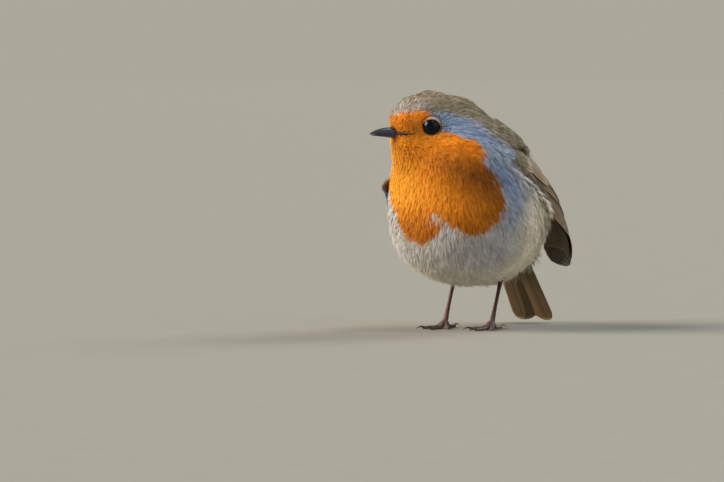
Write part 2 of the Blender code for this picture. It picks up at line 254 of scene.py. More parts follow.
def middle(node):
    low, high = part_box(node)
    return (low + high) / 2


EYE = {side: middle(f"eye_{side}") for side in ("left", "right")}
EYE_RADIUS = (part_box("eye_left")[1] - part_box("eye_left")[0]).z / 2
head_left = (EYE["left"] - EYE["right"]).normalized()
head_forward = head_left.cross(Vector((0, 0, 1))).normalized()
head_turn = math.degrees(math.atan2(head_forward.x, -head_forward.y))
BILL_LIFT = 3.7  # degrees by which the bill points above the level
EYES_TO_MIDDLE = (0, 2.8 * MM, 1.65 * MM)  # from between the eyes to the middle of the head
HEAD = Matrix.Translation((EYE["left"] + EYE["right"]) / 2) @ Matrix.Rotation(math.radians(head_turn), 4, "Z")
HEAD = HEAD @ Matrix.Rotation(math.radians(-BILL_LIFT), 4, "X") @ Matrix.Translation(EYES_TO_MIDDLE)
head_centre = HEAD.translation.copy()  # in the head's own frame +X is its left and -Y the way the bill points
bill_base = HEAD @ Vector((0, -10.2 * MM, -5.2 * MM))
TAIL_ROOT = Vector((-0.6, 15.9, 45.4)) * MM
TAIL_DROP = 52.0  # degrees below the level
TAIL_TURN = 4.0  # degrees towards the bird's right
TAIL = Matrix.Translation(TAIL_ROOT) @ Matrix.Rotation(math.radians(-TAIL_TURN), 4, "Z")
TAIL = TAIL @ Matrix.Rotation(math.radians(-TAIL_DROP), 4, "X")
_, tailwards, tail_up = np.array(TAIL.to_3x3()).T  # along the tail, and out of its upper side
WRIST = {1: Vector((23.4, -27.6, 65.0)) * MM, -1: Vector((-26.6, -27.6, 53.0)) * MM}  # the bend of each wing
TIP = {1: Vector((26.4, 31.4, 21.6)) * MM, -1: Vector((-21.6, 32.4, 22.0)) * MM}
body_axis = Vector((0.4 * MM, -10.0 * MM, 0.0))
print("head turned", round(head_turn, 1), "degrees; eye radius", round(EYE_RADIUS / MM, 2), "mm")

# %% [markdown]
# ## Skin
# A bird's skin is one bag from bill to tail. The solids of flesh are copied into one mesh, and a voxel
# remesh, which rebuilds a shape from a grid of small cubes, closes the thin cuts between them. A few rounds
# of smoothing take the steps out. The hollows for the eyes, bill, wings, tail and legs stay, because the
# solids have them.

# %% Grow one skin over the solids of flesh
FLESH = ("head", "neck", "trunk", "rump", "thigh_left", "thigh_right")
SKIN_CELL = 0.9 * MM

bm = bmesh.new()
for node in FLESH:
    bm.from_mesh(frame["nodes"][node].data)
bmesh.ops.remove_doubles(bm, verts=bm.verts, dist=0.001 * MM)
flesh = new_object("flesh", bpy.data.meshes.new("flesh"))
bm.to_mesh(flesh.data)
bm.free()
remesh = flesh.modifiers.new("one skin", "REMESH")
remesh.mode = "VOXEL"
remesh.voxel_size = SKIN_CELL
relax = flesh.modifiers.new("relax", "SMOOTH")
relax.factor = 0.5
relax.iterations = 6
skin = plain(flesh, "skin")
skin.data.materials.clear()
skin.data.update()
points = vertex_array(skin.data)
normals = np.array([v.normal for v in skin.data.vertices])
print("skin:", len(points), "points")

# %% [markdown]
# ## The lie of the coat
# Feathers point away from the bill, over the head, then down and back along the body to the tail, and where
# the skin faces along the tail they run to the tail's root. Every direction is pressed flat onto the skin.

# %% Lie at every point
DOWN_THE_SIDE = np.array([0.0, 0.50, -0.87])
BACK_UNDER_THE_BELLY = np.array([0.0, 0.95, -0.3])

level = points[:, 2] / MM
from_bill = points - np.array(bill_base)
bill_distance = np.linalg.norm(from_bill, axis=1)
from_bill /= bill_distance[:, None]
bill_distance /= MM
rearward = smooth(points[:, 1] / MM, -2, 10)[:, None]
down_body = DOWN_THE_SIDE * (1 - rearward) + tailwards * rearward
under = smooth(level, 40, 24)[:, None] * (1 - rearward)
down_body = down_body * (1 - under) + BACK_UNDER_THE_BELLY * under
headward = (smooth(level, 58, 72) * smooth(bill_distance, 34, 20))[:, None]
lie = from_bill * headward + down_body * (1 - headward)
from_tail = points - np.array(TAIL_ROOT)
end_on = smooth(normals @ tailwards, 0.2, 0.6) * smooth(np.linalg.norm(from_tail, axis=1) / MM, 17, 11)
end_on = end_on[:, None]  # where the skin faces along the tail
lie = lie * (1 - end_on) - np.sign(from_tail @ tail_up)[:, None] * tail_up * end_on
lie = flattened(lie, normals)
print(f"the lie points backwards over {100 * (lie[:, 1] > 0).mean():.0f} % of the skin")

# %% [markdown]
# The length of the feathers changes over the body: scarcely over a millimetre at the bill, three on the
# crown, four to five on breast and back, and six on the fluffed belly and the rump. They are shortest round
# the eyes. The coat is as deep as its feathers are long and stand up, and deeper or thinner where the
# bird's outline needs it.

# %% Length and depth of the coat
in_head = (points - np.array(head_centre)) @ np.array(HEAD.to_3x3()) / MM
to_left, to_back, to_top = in_head.T  # each point's place in the head's own frame
eye_distance = np.minimum(*[np.linalg.norm(points - np.array(EYE[side]), axis=1) for side in EYE]) / MM
chin = np.exp(-((to_left / 6.0) ** 2 + ((to_back + 8.0) / 5.0) ** 2 + ((to_top + 12.0) / 5.0) ** 2))
length = 1.2 + 2.0 * smooth(bill_distance, 3, 17)
length += 1.8 * smooth(bill_distance, 17, 34)
length += 1.2 * smooth(level, 46, 28) + 1.2 * rearward[:, 0] * smooth(level, 60, 46)
length *= 0.40 + 0.60 * smooth(eye_distance, EYE_RADIUS / MM, EYE_RADIUS / MM + 5.0)
length += 1.2 * chin

out_of_back = normals @ np.array([0.0, 0.77, 0.64])  # 1 where the skin faces straight out of the sloping back
shoulder = (points / MM - np.array([19.0, 2.0, 68.0])) / np.array([6.0, 8.0, 6.0])
shoulder = np.exp(-(np.linalg.norm(shoulder, axis=1) ** 2))
depth = length * (0.28 - 0.14 * smooth(level, 60, 68) * smooth(to_back, 1, -7) * smooth(to_top, 6, 1))
depth += 0.35 * smooth(level, 77, 85) * smooth(to_back, 8, 2)
depth += 0.9 * smooth(out_of_back, 0.3, 0.8) * smooth(level, 44, 54) * smooth(level, 72, 64)  # upper back
depth -= 0.5 * smooth(to_back, 2, 6) * smooth(to_top, 5, 9)  # nape
depth += 0.3 * smooth(to_top, 11.3, 12.2)  # top of the crown
depth -= 0.9 * np.exp(-(((to_top - 0.2) / 2.6) ** 2)) * smooth(to_back, -11, -13.3)  # forehead
depth -= 0.5 * smooth(to_top, -5, -8) * smooth(to_back, -10, -12.5)  # throat
depth += 1.1 * shoulder + 0.25 * smooth(to_top, 10.5, 12.0)
depth = (depth + 0.7 * smooth(level, 32, 23)) * MM  # belly
print("feathers from", round(length.min(), 1), "to", round(length.max(), 1), "mm")

# %% [markdown]
# The markings are worked out once, at every point of the skin, and stored there. A feather later takes them
# from its root, so skin and coat carry the same pattern. What counts is where the feather's outer half
# lies, so each mark is looked up that far along the lie. A point's place round the body is its bearing: 0
# in front, 90 on the bird's left. The head is turned, so the bearing is counted from a heading that swings
# from the breast's to the head's between belly and crown.

# %% Bearings round the turned bird
BREAST_LEVEL = 48 * MM
BROW_LEVEL = 80 * MM

shown = points + lie * length[:, None] * 0.5 * MM
rise = smooth(shown[:, 2], BREAST_LEVEL, BROW_LEVEL)
axis_x = body_axis.x + (head_centre.x - body_axis.x) * rise
axis_y = body_axis.y + (head_centre.y - body_axis.y) * rise
bearing = np.degrees(np.arctan2(shown[:, 0] - axis_x, axis_y - shown[:, 1])) - head_turn * rise
bearing = (bearing + 180) % 360 - 180
around = np.abs(bearing)
height = shown[:, 2] / MM
print("bearings from", round(bearing.min()), "to", round(bearing.max()))

# %% [markdown]
# ## Markings
# The orange of forehead, face and breast has one outline, written as (bearing, height in mm) corners. It
# runs over the brow, behind the eye, down the side of the neck and the breast, and ends below in two lobes
# with a notch between them. A soft blue-grey border wraps it. Signed distance to each outline, in mm along
# the surface, makes soft-edged masks.

# %% Outlines of bib and border
BIB_SIDE = [(0, 81.6), (16, 82.1), (46, 83.5), (73, 82.0), (80, 79.0), (84, 75.8), (95, 75.0), (108, 72.4)]
BIB_SIDE += [(99, 69.0), (84, 65.7), (74, 63.0), (67, 59.4), (61, 57.1), (53, 53.5)]
BIB_LOWER = [(49, 49.0), (48, 45.5), (45, 43.7), (36, 39.0), (29, 37.4), (20, 38.2), (14, 41.4), (10, 42.7)]
BIB_LOWER += [(6, 40.5), (5, 38.0), (-1, 35.8), (-7, 33.8), (-12, 33.8), (-18, 35.6), (-24, 38.4)]
BIB_LOWER += [(-33, 45.1), (-40, 48.0)]
BORDER_SIDE = [(76, 85.0), (90, 89.0), (117, 87.5), (137, 86.5), (160, 85.0), (170, 76.0), (153, 68.0)]
BORDER_SIDE += [(122, 69.5), (98, 65.0), (84, 60.5), (74, 55.0), (67, 50.0), (64, 45.0), (58, 40.0)]
BORDER_SIDE += [(46, 40.0)]
DEGREE = 0.33  # mm of surface to a degree of bearing, on average over head and breast
BIB_EDGE, BORDER_EDGE = 3.6, 7.0  # mm over which each fades


def inside(outline, soft):
    """1 within a closed outline of (bearing, height) corners and 0 outside, with an edge soft mm wide."""
    here = np.stack([bearing * DEGREE, height], axis=1)
    ends = np.array(outline, float) * (DEGREE, 1.0)
    nearest = np.full(len(here), np.inf)
    crossings = np.zeros(len(here), bool)
    for a, b in zip(ends, np.roll(ends, -1, axis=0)):
        along = np.clip(((here - a) @ (b - a)) / ((b - a) @ (b - a) + 1e-12), 0, 1)
        nearest = np.minimum(nearest, np.linalg.norm(here - a - along[:, None] * (b - a), axis=1))
        spans = (a[1] > here[:, 1]) != (b[1] > here[:, 1])
        cut = a[0] + (here[:, 1] - a[1]) * (b[0] - a[0]) / (b[1] - a[1] + 1e-12)
        crossings ^= spans & (here[:, 0] < cut)
    return smooth(np.where(crossings, nearest, -nearest), -soft / 2, soft / 2)


def mirrored(side):
    return [(-b, z) for b, z in reversed(side)]


bib = inside(BIB_SIDE + BIB_LOWER + mirrored(BIB_SIDE)[:-1], BIB_EDGE)
spot = np.exp(-(((bearing - 2) * DEGREE) ** 2 + (height - 43.6) ** 2) / 1.5**2)  # a pale spot above the notch
bib *= 1 - 0.8 * spot
border = np.maximum(inside(BORDER_SIDE, BORDER_EDGE), inside(mirrored(BORDER_SIDE), BORDER_EDGE))
border *= smooth(around, 158, 118)
border *= 0.45 + 0.55 * smooth(height, 42, 56)
print(f"bib over {100 * bib.mean():.0f} % of the skin, border over {100 * border.mean():.0f} %")

# %% [markdown]
# Crown and back are olive-brown. Their edge follows a line over the brow and round the nape, and the upper
# edge of each folded wing. At the bend of the wing the feathers are silvery. The olive ends on the rump at
# the plane of the tail.

# %% Olive of crown and back
tail_side = (shown - np.array(TAIL_ROOT)) @ tail_up / MM  # above the tail's plane
crown_line = np.interp(around, [0, 46, 73, 90, 117, 158, 180], [81.6, 83.5, 82.2, 82.8, 81.2, 79.5, 79.0])
blurred = 0.8 + 1.6 * smooth(around, 80, 100)  # the line is sharp over the brow and soft behind the eye
crown = smooth(height - crown_line, -blurred, 1.4 * blurred)
back = smooth(out_of_back, -0.05, 0.35) * smooth(around, 95, 125)
silver = np.zeros(len(points))
for side in SIDES:
    spar = np.array(TIP[side] - WRIST[side])
    across_wing = np.cross(spar, [-side, 0, -0.5])
    from_wrist = shown - np.array(WRIST[side])
    share = from_wrist @ spar / (spar @ spar)  # 0 at the wrist and 1 at the wing's tip
    raised = (from_wrist @ across_wing) * side / np.linalg.norm(spar) / 1.118 / MM  # 1.118 is (1, 0.5) long
    near = smooth(side * shown[:, 0] / MM, 0, 6)
    over_wing = smooth(raised - 4 * smooth(share, 0.9, 0.4), 0, 4) * smooth(share, -0.06, 0.06)
    back = np.maximum(back, over_wing * near * smooth(height, 84, 80))
    silver = np.maximum(silver, near * np.exp(-(((share + 0.03) / 0.10) ** 2 + ((raised - 2.2) / 3.0) ** 2)))
rear = smooth(points[:, 1] / MM, -4, 6) * smooth(height, 62, 50)
side_of_rump = smooth(np.abs(shown[:, 0] / MM), 13, 18) * smooth(height, 52, 44)
back *= 1 - rear * np.maximum(smooth(tail_side, -2.5, -4.5), side_of_rump)
olive = np.clip(crown + back, 0, 1)
print(f"olive over {100 * olive.mean():.0f} % of the skin")

# %% [markdown]
# The rest are soft patches of tone: buff flanks, a darker brown in front of each eye and a greyer brow.
# Over the orange lie painted light, brighter and more golden on the right breast where the key light
# falls, and painted shade, deeper on the left breast away from it and low down under the breast's curve.

# %% All the masks
flank = smooth(around, 45, 85) * smooth(height, 60, 46) * smooth(height, 15, 25)
# painted shade on the left breast, the side away from the key light
rust = smooth(bearing, 0, 60) * smooth(height, 74, 60) * smooth(around, 90, 70)
MASKS = {
    "bib": bib,
    "border": border,
    "olive": olive,
    "silver": silver,
    "buff": np.clip(flank + smooth(height, 30, 21) * 0.5, 0, 1) * (1 - olive),
    "brow": crown * smooth(around, 95, 50) * smooth(height, 91, 84),
    # darker brown in front of and a little below each eye
    "lore": np.exp(-(((np.abs(to_left) - 6.0) / 3.2) ** 2 + ((to_back + 8.4) / 3.8) ** 2
                     + ((to_top + 3.2) / 2.4) ** 2)),
    # painted light: the orange turns brighter and golden on the right breast, where the key light falls
    "gold": smooth(bearing, 35, -30) * smooth(height, 86, 72) * smooth(height, 38, 56),
    # painted shade, also low down under the curve of the breast
    "rust": np.maximum(rust, 0.75 * smooth(height, 52, 38)),
}
for name, values in MASKS.items():
    print(f"{name} covers {100 * values.mean():.1f} % of the skin")

# %% [markdown]
# The skin is drawn in along its normals by the depth of the coat, so that feather tips end about where the
# solids do. Where a folded wing or the tail lies over the body the coat is left out: a ray from each point
# straight out tells whether it meets one. Feathers are longer and looser beside a wing and under the chin,
# and the corners of the mouth are bare.

# %% Draw the skin in and find what the wings hide
WING_COVER = 7 * MM
UNDER_WING = 2.5  # mm by which the coat runs in under the edge of a wing


def surface_tree(mesh):
    """The mesh's faces, ready to be hit by rays."""
    return BVHTree.FromPolygons([v.co for v in mesh.vertices], [p.vertices for p in mesh.polygons])


covered = np.zeros(len(points), bool)
for node in ("wing_left", "wing_right", "tail"):
    tree = surface_tree(frame["nodes"][node].data)
    for i, (p, n) in enumerate(zip(points, normals)):
        if tree.ray_cast(Vector(p) - Vector(n) * 0.2 * MM, Vector(n), WING_COVER)[0] is not None:
            covered[i] = True


def distance_to(chosen):
    """How far every point is from the nearest chosen one, in mm."""
    nearest = finder(points[chosen])
    return np.array([nearest.find(p)[2] for p in points]) / MM


hidden = smooth(distance_to(~covered), UNDER_WING, UNDER_WING + 1.0)
beside_wing = np.exp(-distance_to(covered) / 2.5) * (1 - hidden) * smooth(level, 66, 56)
beside_wing *= smooth(level, 20, 30)
beside_wing *= smooth(points[:, 1] / MM, 8, 0)
length *= (1 + 0.35 * beside_wing) * (1 - 0.62 * end_on[:, 0])
skin.data.vertices.foreach_set("co", (points - normals * depth[:, None]).ravel())
skin.data.update()

along_gape = np.clip((13.4 + to_back) / 4.6, 0, 1)
off_gape = np.abs(to_top + 4.7 + 0.45 * along_gape) - 1.0 * (1 - along_gape)
open_coat = (1 - hidden) * smooth(eye_distance, EYE_RADIUS / MM + 0.1, EYE_RADIUS / MM + 0.5)
open_coat *= 1 - smooth(off_gape, 0.35, 0.05) * smooth(to_back, -9.0, -9.4)  # bare corners of the mouth
ruffle = 1.0 + 0.7 * smooth(height, 42, 26) * (1 - rearward[:, 0])  # the belly is fluffed out
ruffle += 1.2 * beside_wing + 1.0 * chin
print(f"coat left out over {100 * hidden.mean():.1f} % of the skin")

# %% [markdown]
# Masks, lie and length are stored on the mesh as attributes, which materials and Geometry Nodes can read.
# The skin is unwrapped into a map named OFBake.

# %% Store it all on the skin
coat_facts = {**MASKS, "length": length * MM, "open_coat": open_coat, "ruffle": ruffle}
store(skin.data, coat_facts, {"lie": lie, "outward": normals})

bpy.context.view_layer.objects.active = skin
skin.select_set(True)
bpy.ops.object.mode_set(mode="EDIT")
bpy.ops.mesh.select_all(action="SELECT")
bpy.ops.uv.smart_project(angle_limit=math.radians(66), island_margin=0.004)
bpy.ops.object.mode_set(mode="OBJECT")
skin.select_set(False)
skin.data.uv_layers[0].name = "OFBake"
skin.data.shade_smooth()
print("skin carries:", ", ".join(coat_facts))

# %% [markdown]
# ## Plumage colour
# A small feather's colour comes from pigment in its barbs: orange and brown melanins, and their absence on
# the belly. Its base is dull grey down and its outer part bright. Each lock is darkened towards its root,
# which is partly that grey down and partly painted shade, the shade that falls deep in the coat between
# the feathers, and this gives the coat its depth. The surface is matt with a faint sheen, because
# thousands of barbs scatter the light. The colours are mixed in the shader by the masks. A mask's soft
# edge is cut at a different level for each feather, so two colours meet in a ragged line, as they do on a
# bird.

# %% Plumage material
BODY_COLOURS = {  # mask: dark and light tone, each laid over those before it
    "buff": ("#E2D6B9", "#FFF6E2"),
    "border": ("#7188AB", "#A5B9D5"),
    "olive": ("#7D7056", "#AA9E80"),
    "silver": ("#A5B9D5", "#D3DCE2"),
    "brow": ("#776F66", "#C9C2BC"),
}
BELLY_GREY, BELLY_WHITE = "#ABAAAB", "#D6D4D0"
ORANGE_DEEP, ORANGE_BRIGHT = "#DE7C06", "#F79A1C"
# painted light on the orange, where the key light falls
ORANGE_PAINTED_LIGHT = "#FFC23C"
# painted shade on the orange, away from the key light and under the breast
ORANGE_PAINTED_SHADE = "#8C4A05"
LORE_BROWN = "#7C420E"
RING_CREAM = "#F4DDB6"
DOWN_GREY = "#B4AAA2"


def plumage(name, on_skin):
    """The coat's material, or the skin's, which is the same pattern in the dull tones of feather bases."""
    made, tree, shader = material(name, 0.75, 0.25)
    place = add(tree, "ShaderNodeTexCoord").outputs["Object"]
    patches = add(tree, "ShaderNodeTexNoise", {"Vector": place, "Scale": 130.0, "Detail": 3.0}).outputs["Fac"]
    fine = add(tree, "ShaderNodeTexNoise", {"Vector": place, "Scale": 1400.0, "Detail": 2.0}).outputs["Fac"]
    mask = {key: add(tree, "ShaderNodeAttribute", attribute_name=key).outputs["Fac"]
            for key in (*MASKS, "ring", "tone", "along")}
    tone = fine if on_skin else mask["tone"]
    mixed = add(tree, "ShaderNodeMath", (tone, patches), operation="ADD").outputs[0]
    vary = add(tree, "ShaderNodeMapRange", (mixed, 0.45, 1.55)).outputs[0]
    cut = add(tree, "ShaderNodeMapRange", (tone, 0.0, 1.0, 0.26, -0.26)).outputs[0]
    for key in ("olive", "bib"):
        shifted = add(tree, "ShaderNodeMath", (mask[key], cut), operation="ADD").outputs[0]
        mask[key] = add(tree, "ShaderNodeMapRange", (shifted, 0.32, 0.68)).outputs[0]
    # painted light: golden over the right breast, where the key light falls
    painted_light_share = add(tree, "ShaderNodeMapRange", (mask["gold"], 0.0, 1.0, 0.0, 0.6)).outputs[0]
    mottling = add(tree, "ShaderNodeMapRange", (patches, 0.3, 0.7, 0.6, 1.0)).outputs[0]
    # painted shade: mottled and deeper on the left breast and low down
    mottled_painted_shade = add(tree, "ShaderNodeMath", (mask["rust"], mottling), operation="MULTIPLY").outputs[0]
    orange = paint(tree, (vary, ORANGE_DEEP, ORANGE_BRIGHT), (painted_light_share, ORANGE_PAINTED_LIGHT), (mottled_painted_shade, ORANGE_PAINTED_SHADE),
                   (mask["lore"], LORE_BROWN))
    layers = [(mask[key], (vary, dark, light)) for key, (dark, light) in BODY_COLOURS.items()]
    layers += [(mask["bib"], orange), (mask["ring"], RING_CREAM)]
    colour = paint(tree, (vary, BELLY_GREY, BELLY_WHITE), *layers)
    # partly painted shade: each lock darkens towards its root, for its grey down and for the shade deep in
    # the coat
    bright = add(tree, "ShaderNodeMapRange", (mask["along"], 0.0, 0.5, 0.62, 1.0)).outputs[0]
    shade = DOWN_GREY if on_skin else add(tree, "ShaderNodeCombineColor", (bright,) * 3).outputs[0]
    both = {0: 1.0, 6: colour, 7: shade}
    colour = add(tree, "ShaderNodeMix", both, data_type="RGBA", blend_type="MULTIPLY").outputs[2]
    feed(tree, shader, {"Base Color": colour, "Sheen Weight": 0.06, "Sheen Roughness": 0.5})
    return made


skin_finish = plumage("downy_skin", on_skin=True)
coat_finish = plumage("contour_feathers", on_skin=False)
finished(skin, FLESH, skin_finish)

# %% [markdown]
# ## One small feather
# At this size a contour feather shows as a lock of fine barbs: they leave the shaft one after another,
# spread a little and curve back to point along the lie. Each barb is a narrow ribbon that ends in a point,
# bent to follow the body. Several different locks are made, so that no pattern repeats, and a lock's own UV
# map says where each corner lies within it.

# %% Make the locks


def lock(name, barbs, spread, width, seed, joints=3):
    """A fan of ribbon-like barbs, one unit long, along +X, lying in the XY plane and domed towards +Z."""
    rng = random.Random(seed)
    bm = bmesh.new()
    share = bm.verts.layers.float.new("along")
    for k in range(barbs):
        side = 2 * k / (barbs - 1) - 1 + rng.uniform(-0.12, 0.12)
        start = 0.30 * (1 - abs(side)) + rng.uniform(0.0, 0.08)
        reach = (1.0 - 0.25 * side * side) * rng.uniform(0.86, 1.06)
        bow = rng.uniform(-0.06, 0.06)
        lift = rng.uniform(0.10, 0.18)
        roll = rng.uniform(-0.4, 0.4)
        half = width * rng.uniform(0.8, 1.2) / 2
        rows = []
        for j in range(joints + 1):
            t = j / joints
            x = start + (reach - start) * t
            y = side * spread * math.sin(t * math.pi / 2) + bow * t * t
            z = lift * math.sin(math.pi * (0.08 + 0.72 * t)) - 0.10 * side * side * t
            taper = half * (1 - 0.25 * t)
            ends = (0,) if j == joints else (-1, 1)
            row = [bm.verts.new((x, y + e * taper, z + e * taper * roll)) for e in ends]
            for vert in row:
                vert[share] = x
            rows.append(row)
        for low, high in zip(rows, rows[1:]):
            bm.faces.new((low[0], high[0], low[1]) if len(high) == 1 else (low[0], high[0], high[1], low[1]))
    bm.normal_update()
    uv = bm.loops.layers.uv.new("patch")
    for face in bm.faces:
        if face.normal.z < 0:
            face.normal_flip()
        for corner in face.loops:
            corner[uv].uv = (corner.vert.co.x, 0.5 + corner.vert.co.y)
    mesh = bpy.data.meshes.new(name)
    bm.to_mesh(mesh)
    bm.free()
    mesh.shade_smooth()
    return bpy.data.objects.new(name, mesh)


def lock_set(name, count, **shape):
    """A collection of different locks of one kind."""
    made = bpy.data.collections.new(name)
    for k in range(count):
        made.objects.link(lock(f"{name}_{k}", seed=17 * k + len(name), **shape))
    return made


FACE_LOCKS = lock_set("face_lock", 5, barbs=5, spread=0.14, width=0.062, joints=2)
BODY_LOCKS = lock_set("body_lock", 6, barbs=9, spread=0.15, width=0.032)
DOWN_LOCKS = lock_set("down_lock", 6, barbs=8, spread=0.30, width=0.030)
for locks in (FACE_LOCKS, BODY_LOCKS, DOWN_LOCKS):
    print(locks.name, [triangles(made) for made in locks.objects], "triangles")

# %% [markdown]
# ## Planting the coat
# Geometry Nodes plants the locks. Points are scattered so that no two are closer than a set spacing, each
# takes the skin's attributes at its place, and a lock is turned so that its X runs along the lie and its Z
# points out. Barbs are too thin to shade one by one, so their normals lean towards the body's own, and
# light falls over the coat as it does over down. Each lock is then given a spot of the OFBake map at its
# root. The tree ends in Realize Instances and Set Material, so what comes out is plain mesh.

# %% The planting tree
BAKE_PATCH = 0.003  # width of a lock's spot on the map
SOCKETS = {"Skin": "Geometry", "Locks": "Collection", "Finish": "Material", "Spacing": "Float",
           "Most per square metre": "Float", "Rise": "Float", "Unruly": "Float", "Softness": "Float",
           "Seed": "Int"}
CHANCES = {"tone": (0.0, 1.0), "pitch": (-1.0, 0.7), "roll": (-1.0, 1.0), "turn": (-1.0, 1.0),
           "size": (0.8, 1.2), "width": (0.8, 1.25), "pick": (0.0, 1.0)}
STORED = {"FLOAT": ("open_coat", "ruffle", "length"), "FLOAT_VECTOR": ("lie", "outward", "patch", "OFBake")}


def planting_tree():
    tree = bpy.data.node_groups.new("plant_coat", "GeometryNodeTree")
    for name, kind in SOCKETS.items():
        tree.interface.new_socket(name, in_out="INPUT", socket_type=f"NodeSocket{kind}")
    tree.interface.new_socket("Coat", in_out="OUTPUT", socket_type="NodeSocketGeometry")
    given = add(tree, "NodeGroupInput").outputs
    stored = {}
    for kind, names in STORED.items():
        for name in names:
            read = add(tree, "GeometryNodeInputNamedAttribute", {"Name": name}, data_type=kind)
            stored[name] = read.outputs["Attribute"]
    chance = {}
    for salt, (name, (low, high)) in enumerate(CHANCES.items(), 1):
        seed = add(tree, "ShaderNodeMath", (given["Seed"], float(salt)), operation="ADD").outputs[0]
        made = add(tree, "FunctionNodeRandomValue", {2: low, 3: high, "Seed": seed}, data_type="FLOAT")
        chance[name] = made.outputs[1]

    # where each lock stands
    scatter = {"Mesh": given["Skin"], "Distance Min": given["Spacing"],
               "Density Max": given["Most per square metre"], "Density Factor": stored["open_coat"],
               "Seed": given["Seed"]}
    roots = add(tree, "GeometryNodeDistributePointsOnFaces", scatter, distribute_method="POISSON").outputs[0]
    tone = {"Geometry": roots, "Name": "tone", "Value": chance["tone"]}
    toned = add(tree, "GeometryNodeStoreNamedAttribute", tone, data_type="FLOAT").outputs[0]

    # how it is turned: along the lie, raised by Rise, and off by chance as far as Unruly and ruffle let it
    facing = add(tree, "FunctionNodeAxesToRotation", (stored["outward"], stored["lie"]), primary_axis="Z",
                 secondary_axis="X").outputs[0]
    ruffle = stored["ruffle"]
    wild, raised = (add(tree, "ShaderNodeMath", (given[key], ruffle), operation="MULTIPLY").outputs[0]
                    for key in ("Unruly", "Rise"))
    roll, turn = (add(tree, "ShaderNodeMath", (chance[key], wild), operation="MULTIPLY").outputs[0]
                  for key in ("roll", "turn"))
    pitch = add(tree, "ShaderNodeMath", (wild, 0.7), operation="MULTIPLY").outputs[0]
    pitch = add(tree, "ShaderNodeMath", (chance["pitch"], pitch), operation="MULTIPLY").outputs[0]
    pitch = add(tree, "ShaderNodeMath", (pitch, raised), operation="SUBTRACT").outputs[0]
    tilt = add(tree, "ShaderNodeCombineXYZ", (roll, pitch, turn)).outputs[0]
    tilt = add(tree, "FunctionNodeEulerToRotation", (tilt,)).outputs[0]
    turned = add(tree, "FunctionNodeRotateRotation", (facing, tilt), rotation_space="LOCAL").outputs[0]

    # how long and wide it is, and which of the locks
    size = add(tree, "ShaderNodeMath", (stored["length"], chance["size"]), operation="MULTIPLY").outputs[0]
    wide = add(tree, "ShaderNodeMath", (size, chance["width"]), operation="MULTIPLY").outputs[0]
    scale = add(tree, "ShaderNodeCombineXYZ", (size, wide, size)).outputs[0]
    pick = add(tree, "ShaderNodeMath", (chance["pick"], 999.0), operation="MULTIPLY").outputs[0]
    source = add(tree, "GeometryNodeCollectionInfo",
                 {"Collection": given["Locks"], "Separate Children": True, "Reset Children": True}).outputs[0]
    locks = {"Points": toned, "Instance": source, "Pick Instance": True, "Instance Index": pick,
             "Rotation": turned, "Scale": scale}
    planted = add(tree, "GeometryNodeInstanceOnPoints", locks).outputs[0]
    real = add(tree, "GeometryNodeRealizeInstances", (planted,)).outputs[0]

    # soft normals, and a spot of the map round each root
    own_normal = add(tree, "GeometryNodeInputNormal").outputs[0]
    leaning = add(tree, "ShaderNodeMix", {0: given["Softness"], 4: own_normal, 5: stored["outward"]},
                  data_type="VECTOR").outputs[1]
    soft = add(tree, "GeometryNodeSetMeshNormal", mode="FREE", domain="POINT")
    feed(tree, soft, {"Mesh": real, "Custom Normal": leaning})
    inner = add(tree, "ShaderNodeVectorMath", (stored["patch"], (-0.5, -0.5, 0.0))).outputs[0]
    small = add(tree, "ShaderNodeVectorMath", {0: inner, 3: BAKE_PATCH}, operation="SCALE").outputs[0]
    spot = add(tree, "ShaderNodeVectorMath", (stored["OFBake"], small)).outputs[0]
    mapped = {"Geometry": soft.outputs[0], "Name": "OFBake", "Value": spot}
    done = add(tree, "GeometryNodeStoreNamedAttribute", mapped, data_type="FLOAT2",
               domain="CORNER").outputs[0]
    for spent in ("patch", "lie", "outward", "length", "open_coat", "ruffle"):
        done = add(tree, "GeometryNodeRemoveAttribute", {"Geometry": done, "Name": spent}).outputs[0]
    done = add(tree, "GeometryNodeSetMaterial", {"Geometry": done, "Material": given["Finish"]}).outputs[0]
    add(tree, "NodeGroupOutput", (done,))
    return tree


PLANT = planting_tree()
print("planting tree:", len(PLANT.nodes), "nodes")

# %% [markdown]
# A modifier runs the tree on a mesh that carries the skin's attributes. Its inputs are set by their
# identifiers, which are looked up by the names shown on the tree.

# %% Plant a piece of coat
SOFTNESS = 0.7  # how far a barb's normal leans towards the body's


def plant(mesh, name, locks, spacing, seed, rise, unruly):
    """A piece of coat grown on mesh, with its locks at least spacing mm apart."""
    plot = new_object(name, mesh)
    planter = plot.modifiers.new("coat", "NODES")
    planter.node_group = PLANT
    values = {"Locks": locks, "Finish": coat_finish, "Spacing": spacing * MM, "Rise": rise, "Unruly": unruly,
              "Most per square metre": 1.2 / (spacing * MM) ** 2, "Softness": SOFTNESS, "Seed": seed}
    for item in PLANT.interface.items_tree:
        if item.in_out == "INPUT" and item.name in values:
            planter[item.identifier] = values[item.name]
    return plain(plot, name)


# %% [markdown]
# The coat is planted in regions, so that each piece stays a sensible size: face, crown, neck, both sides of
# the breast, belly, flank, back, rump and undertail. All regions share the skin's attributes, so locks lie
# and change colour smoothly from one to the next, and no seam shows.

# %% Plant each region
behind = (points[:, 1] > 4 * MM) & (height < 50)
region = np.full(len(points), 4)
region[(height > 38) & (bearing > 20)] = 5
region[(height > 38) & (bearing <= 20)] = 3
region[(height <= 38) & (bearing > 20)] = 6
region[(out_of_back > 0.25) & (around > 100)] = 7
region[behind] = 8
region[behind & (tail_side < -0.5)] = 9
region[height > 66] = 2
region[height > 71] = 0
region[(height > 71) & (olive > 0.5)] = 1

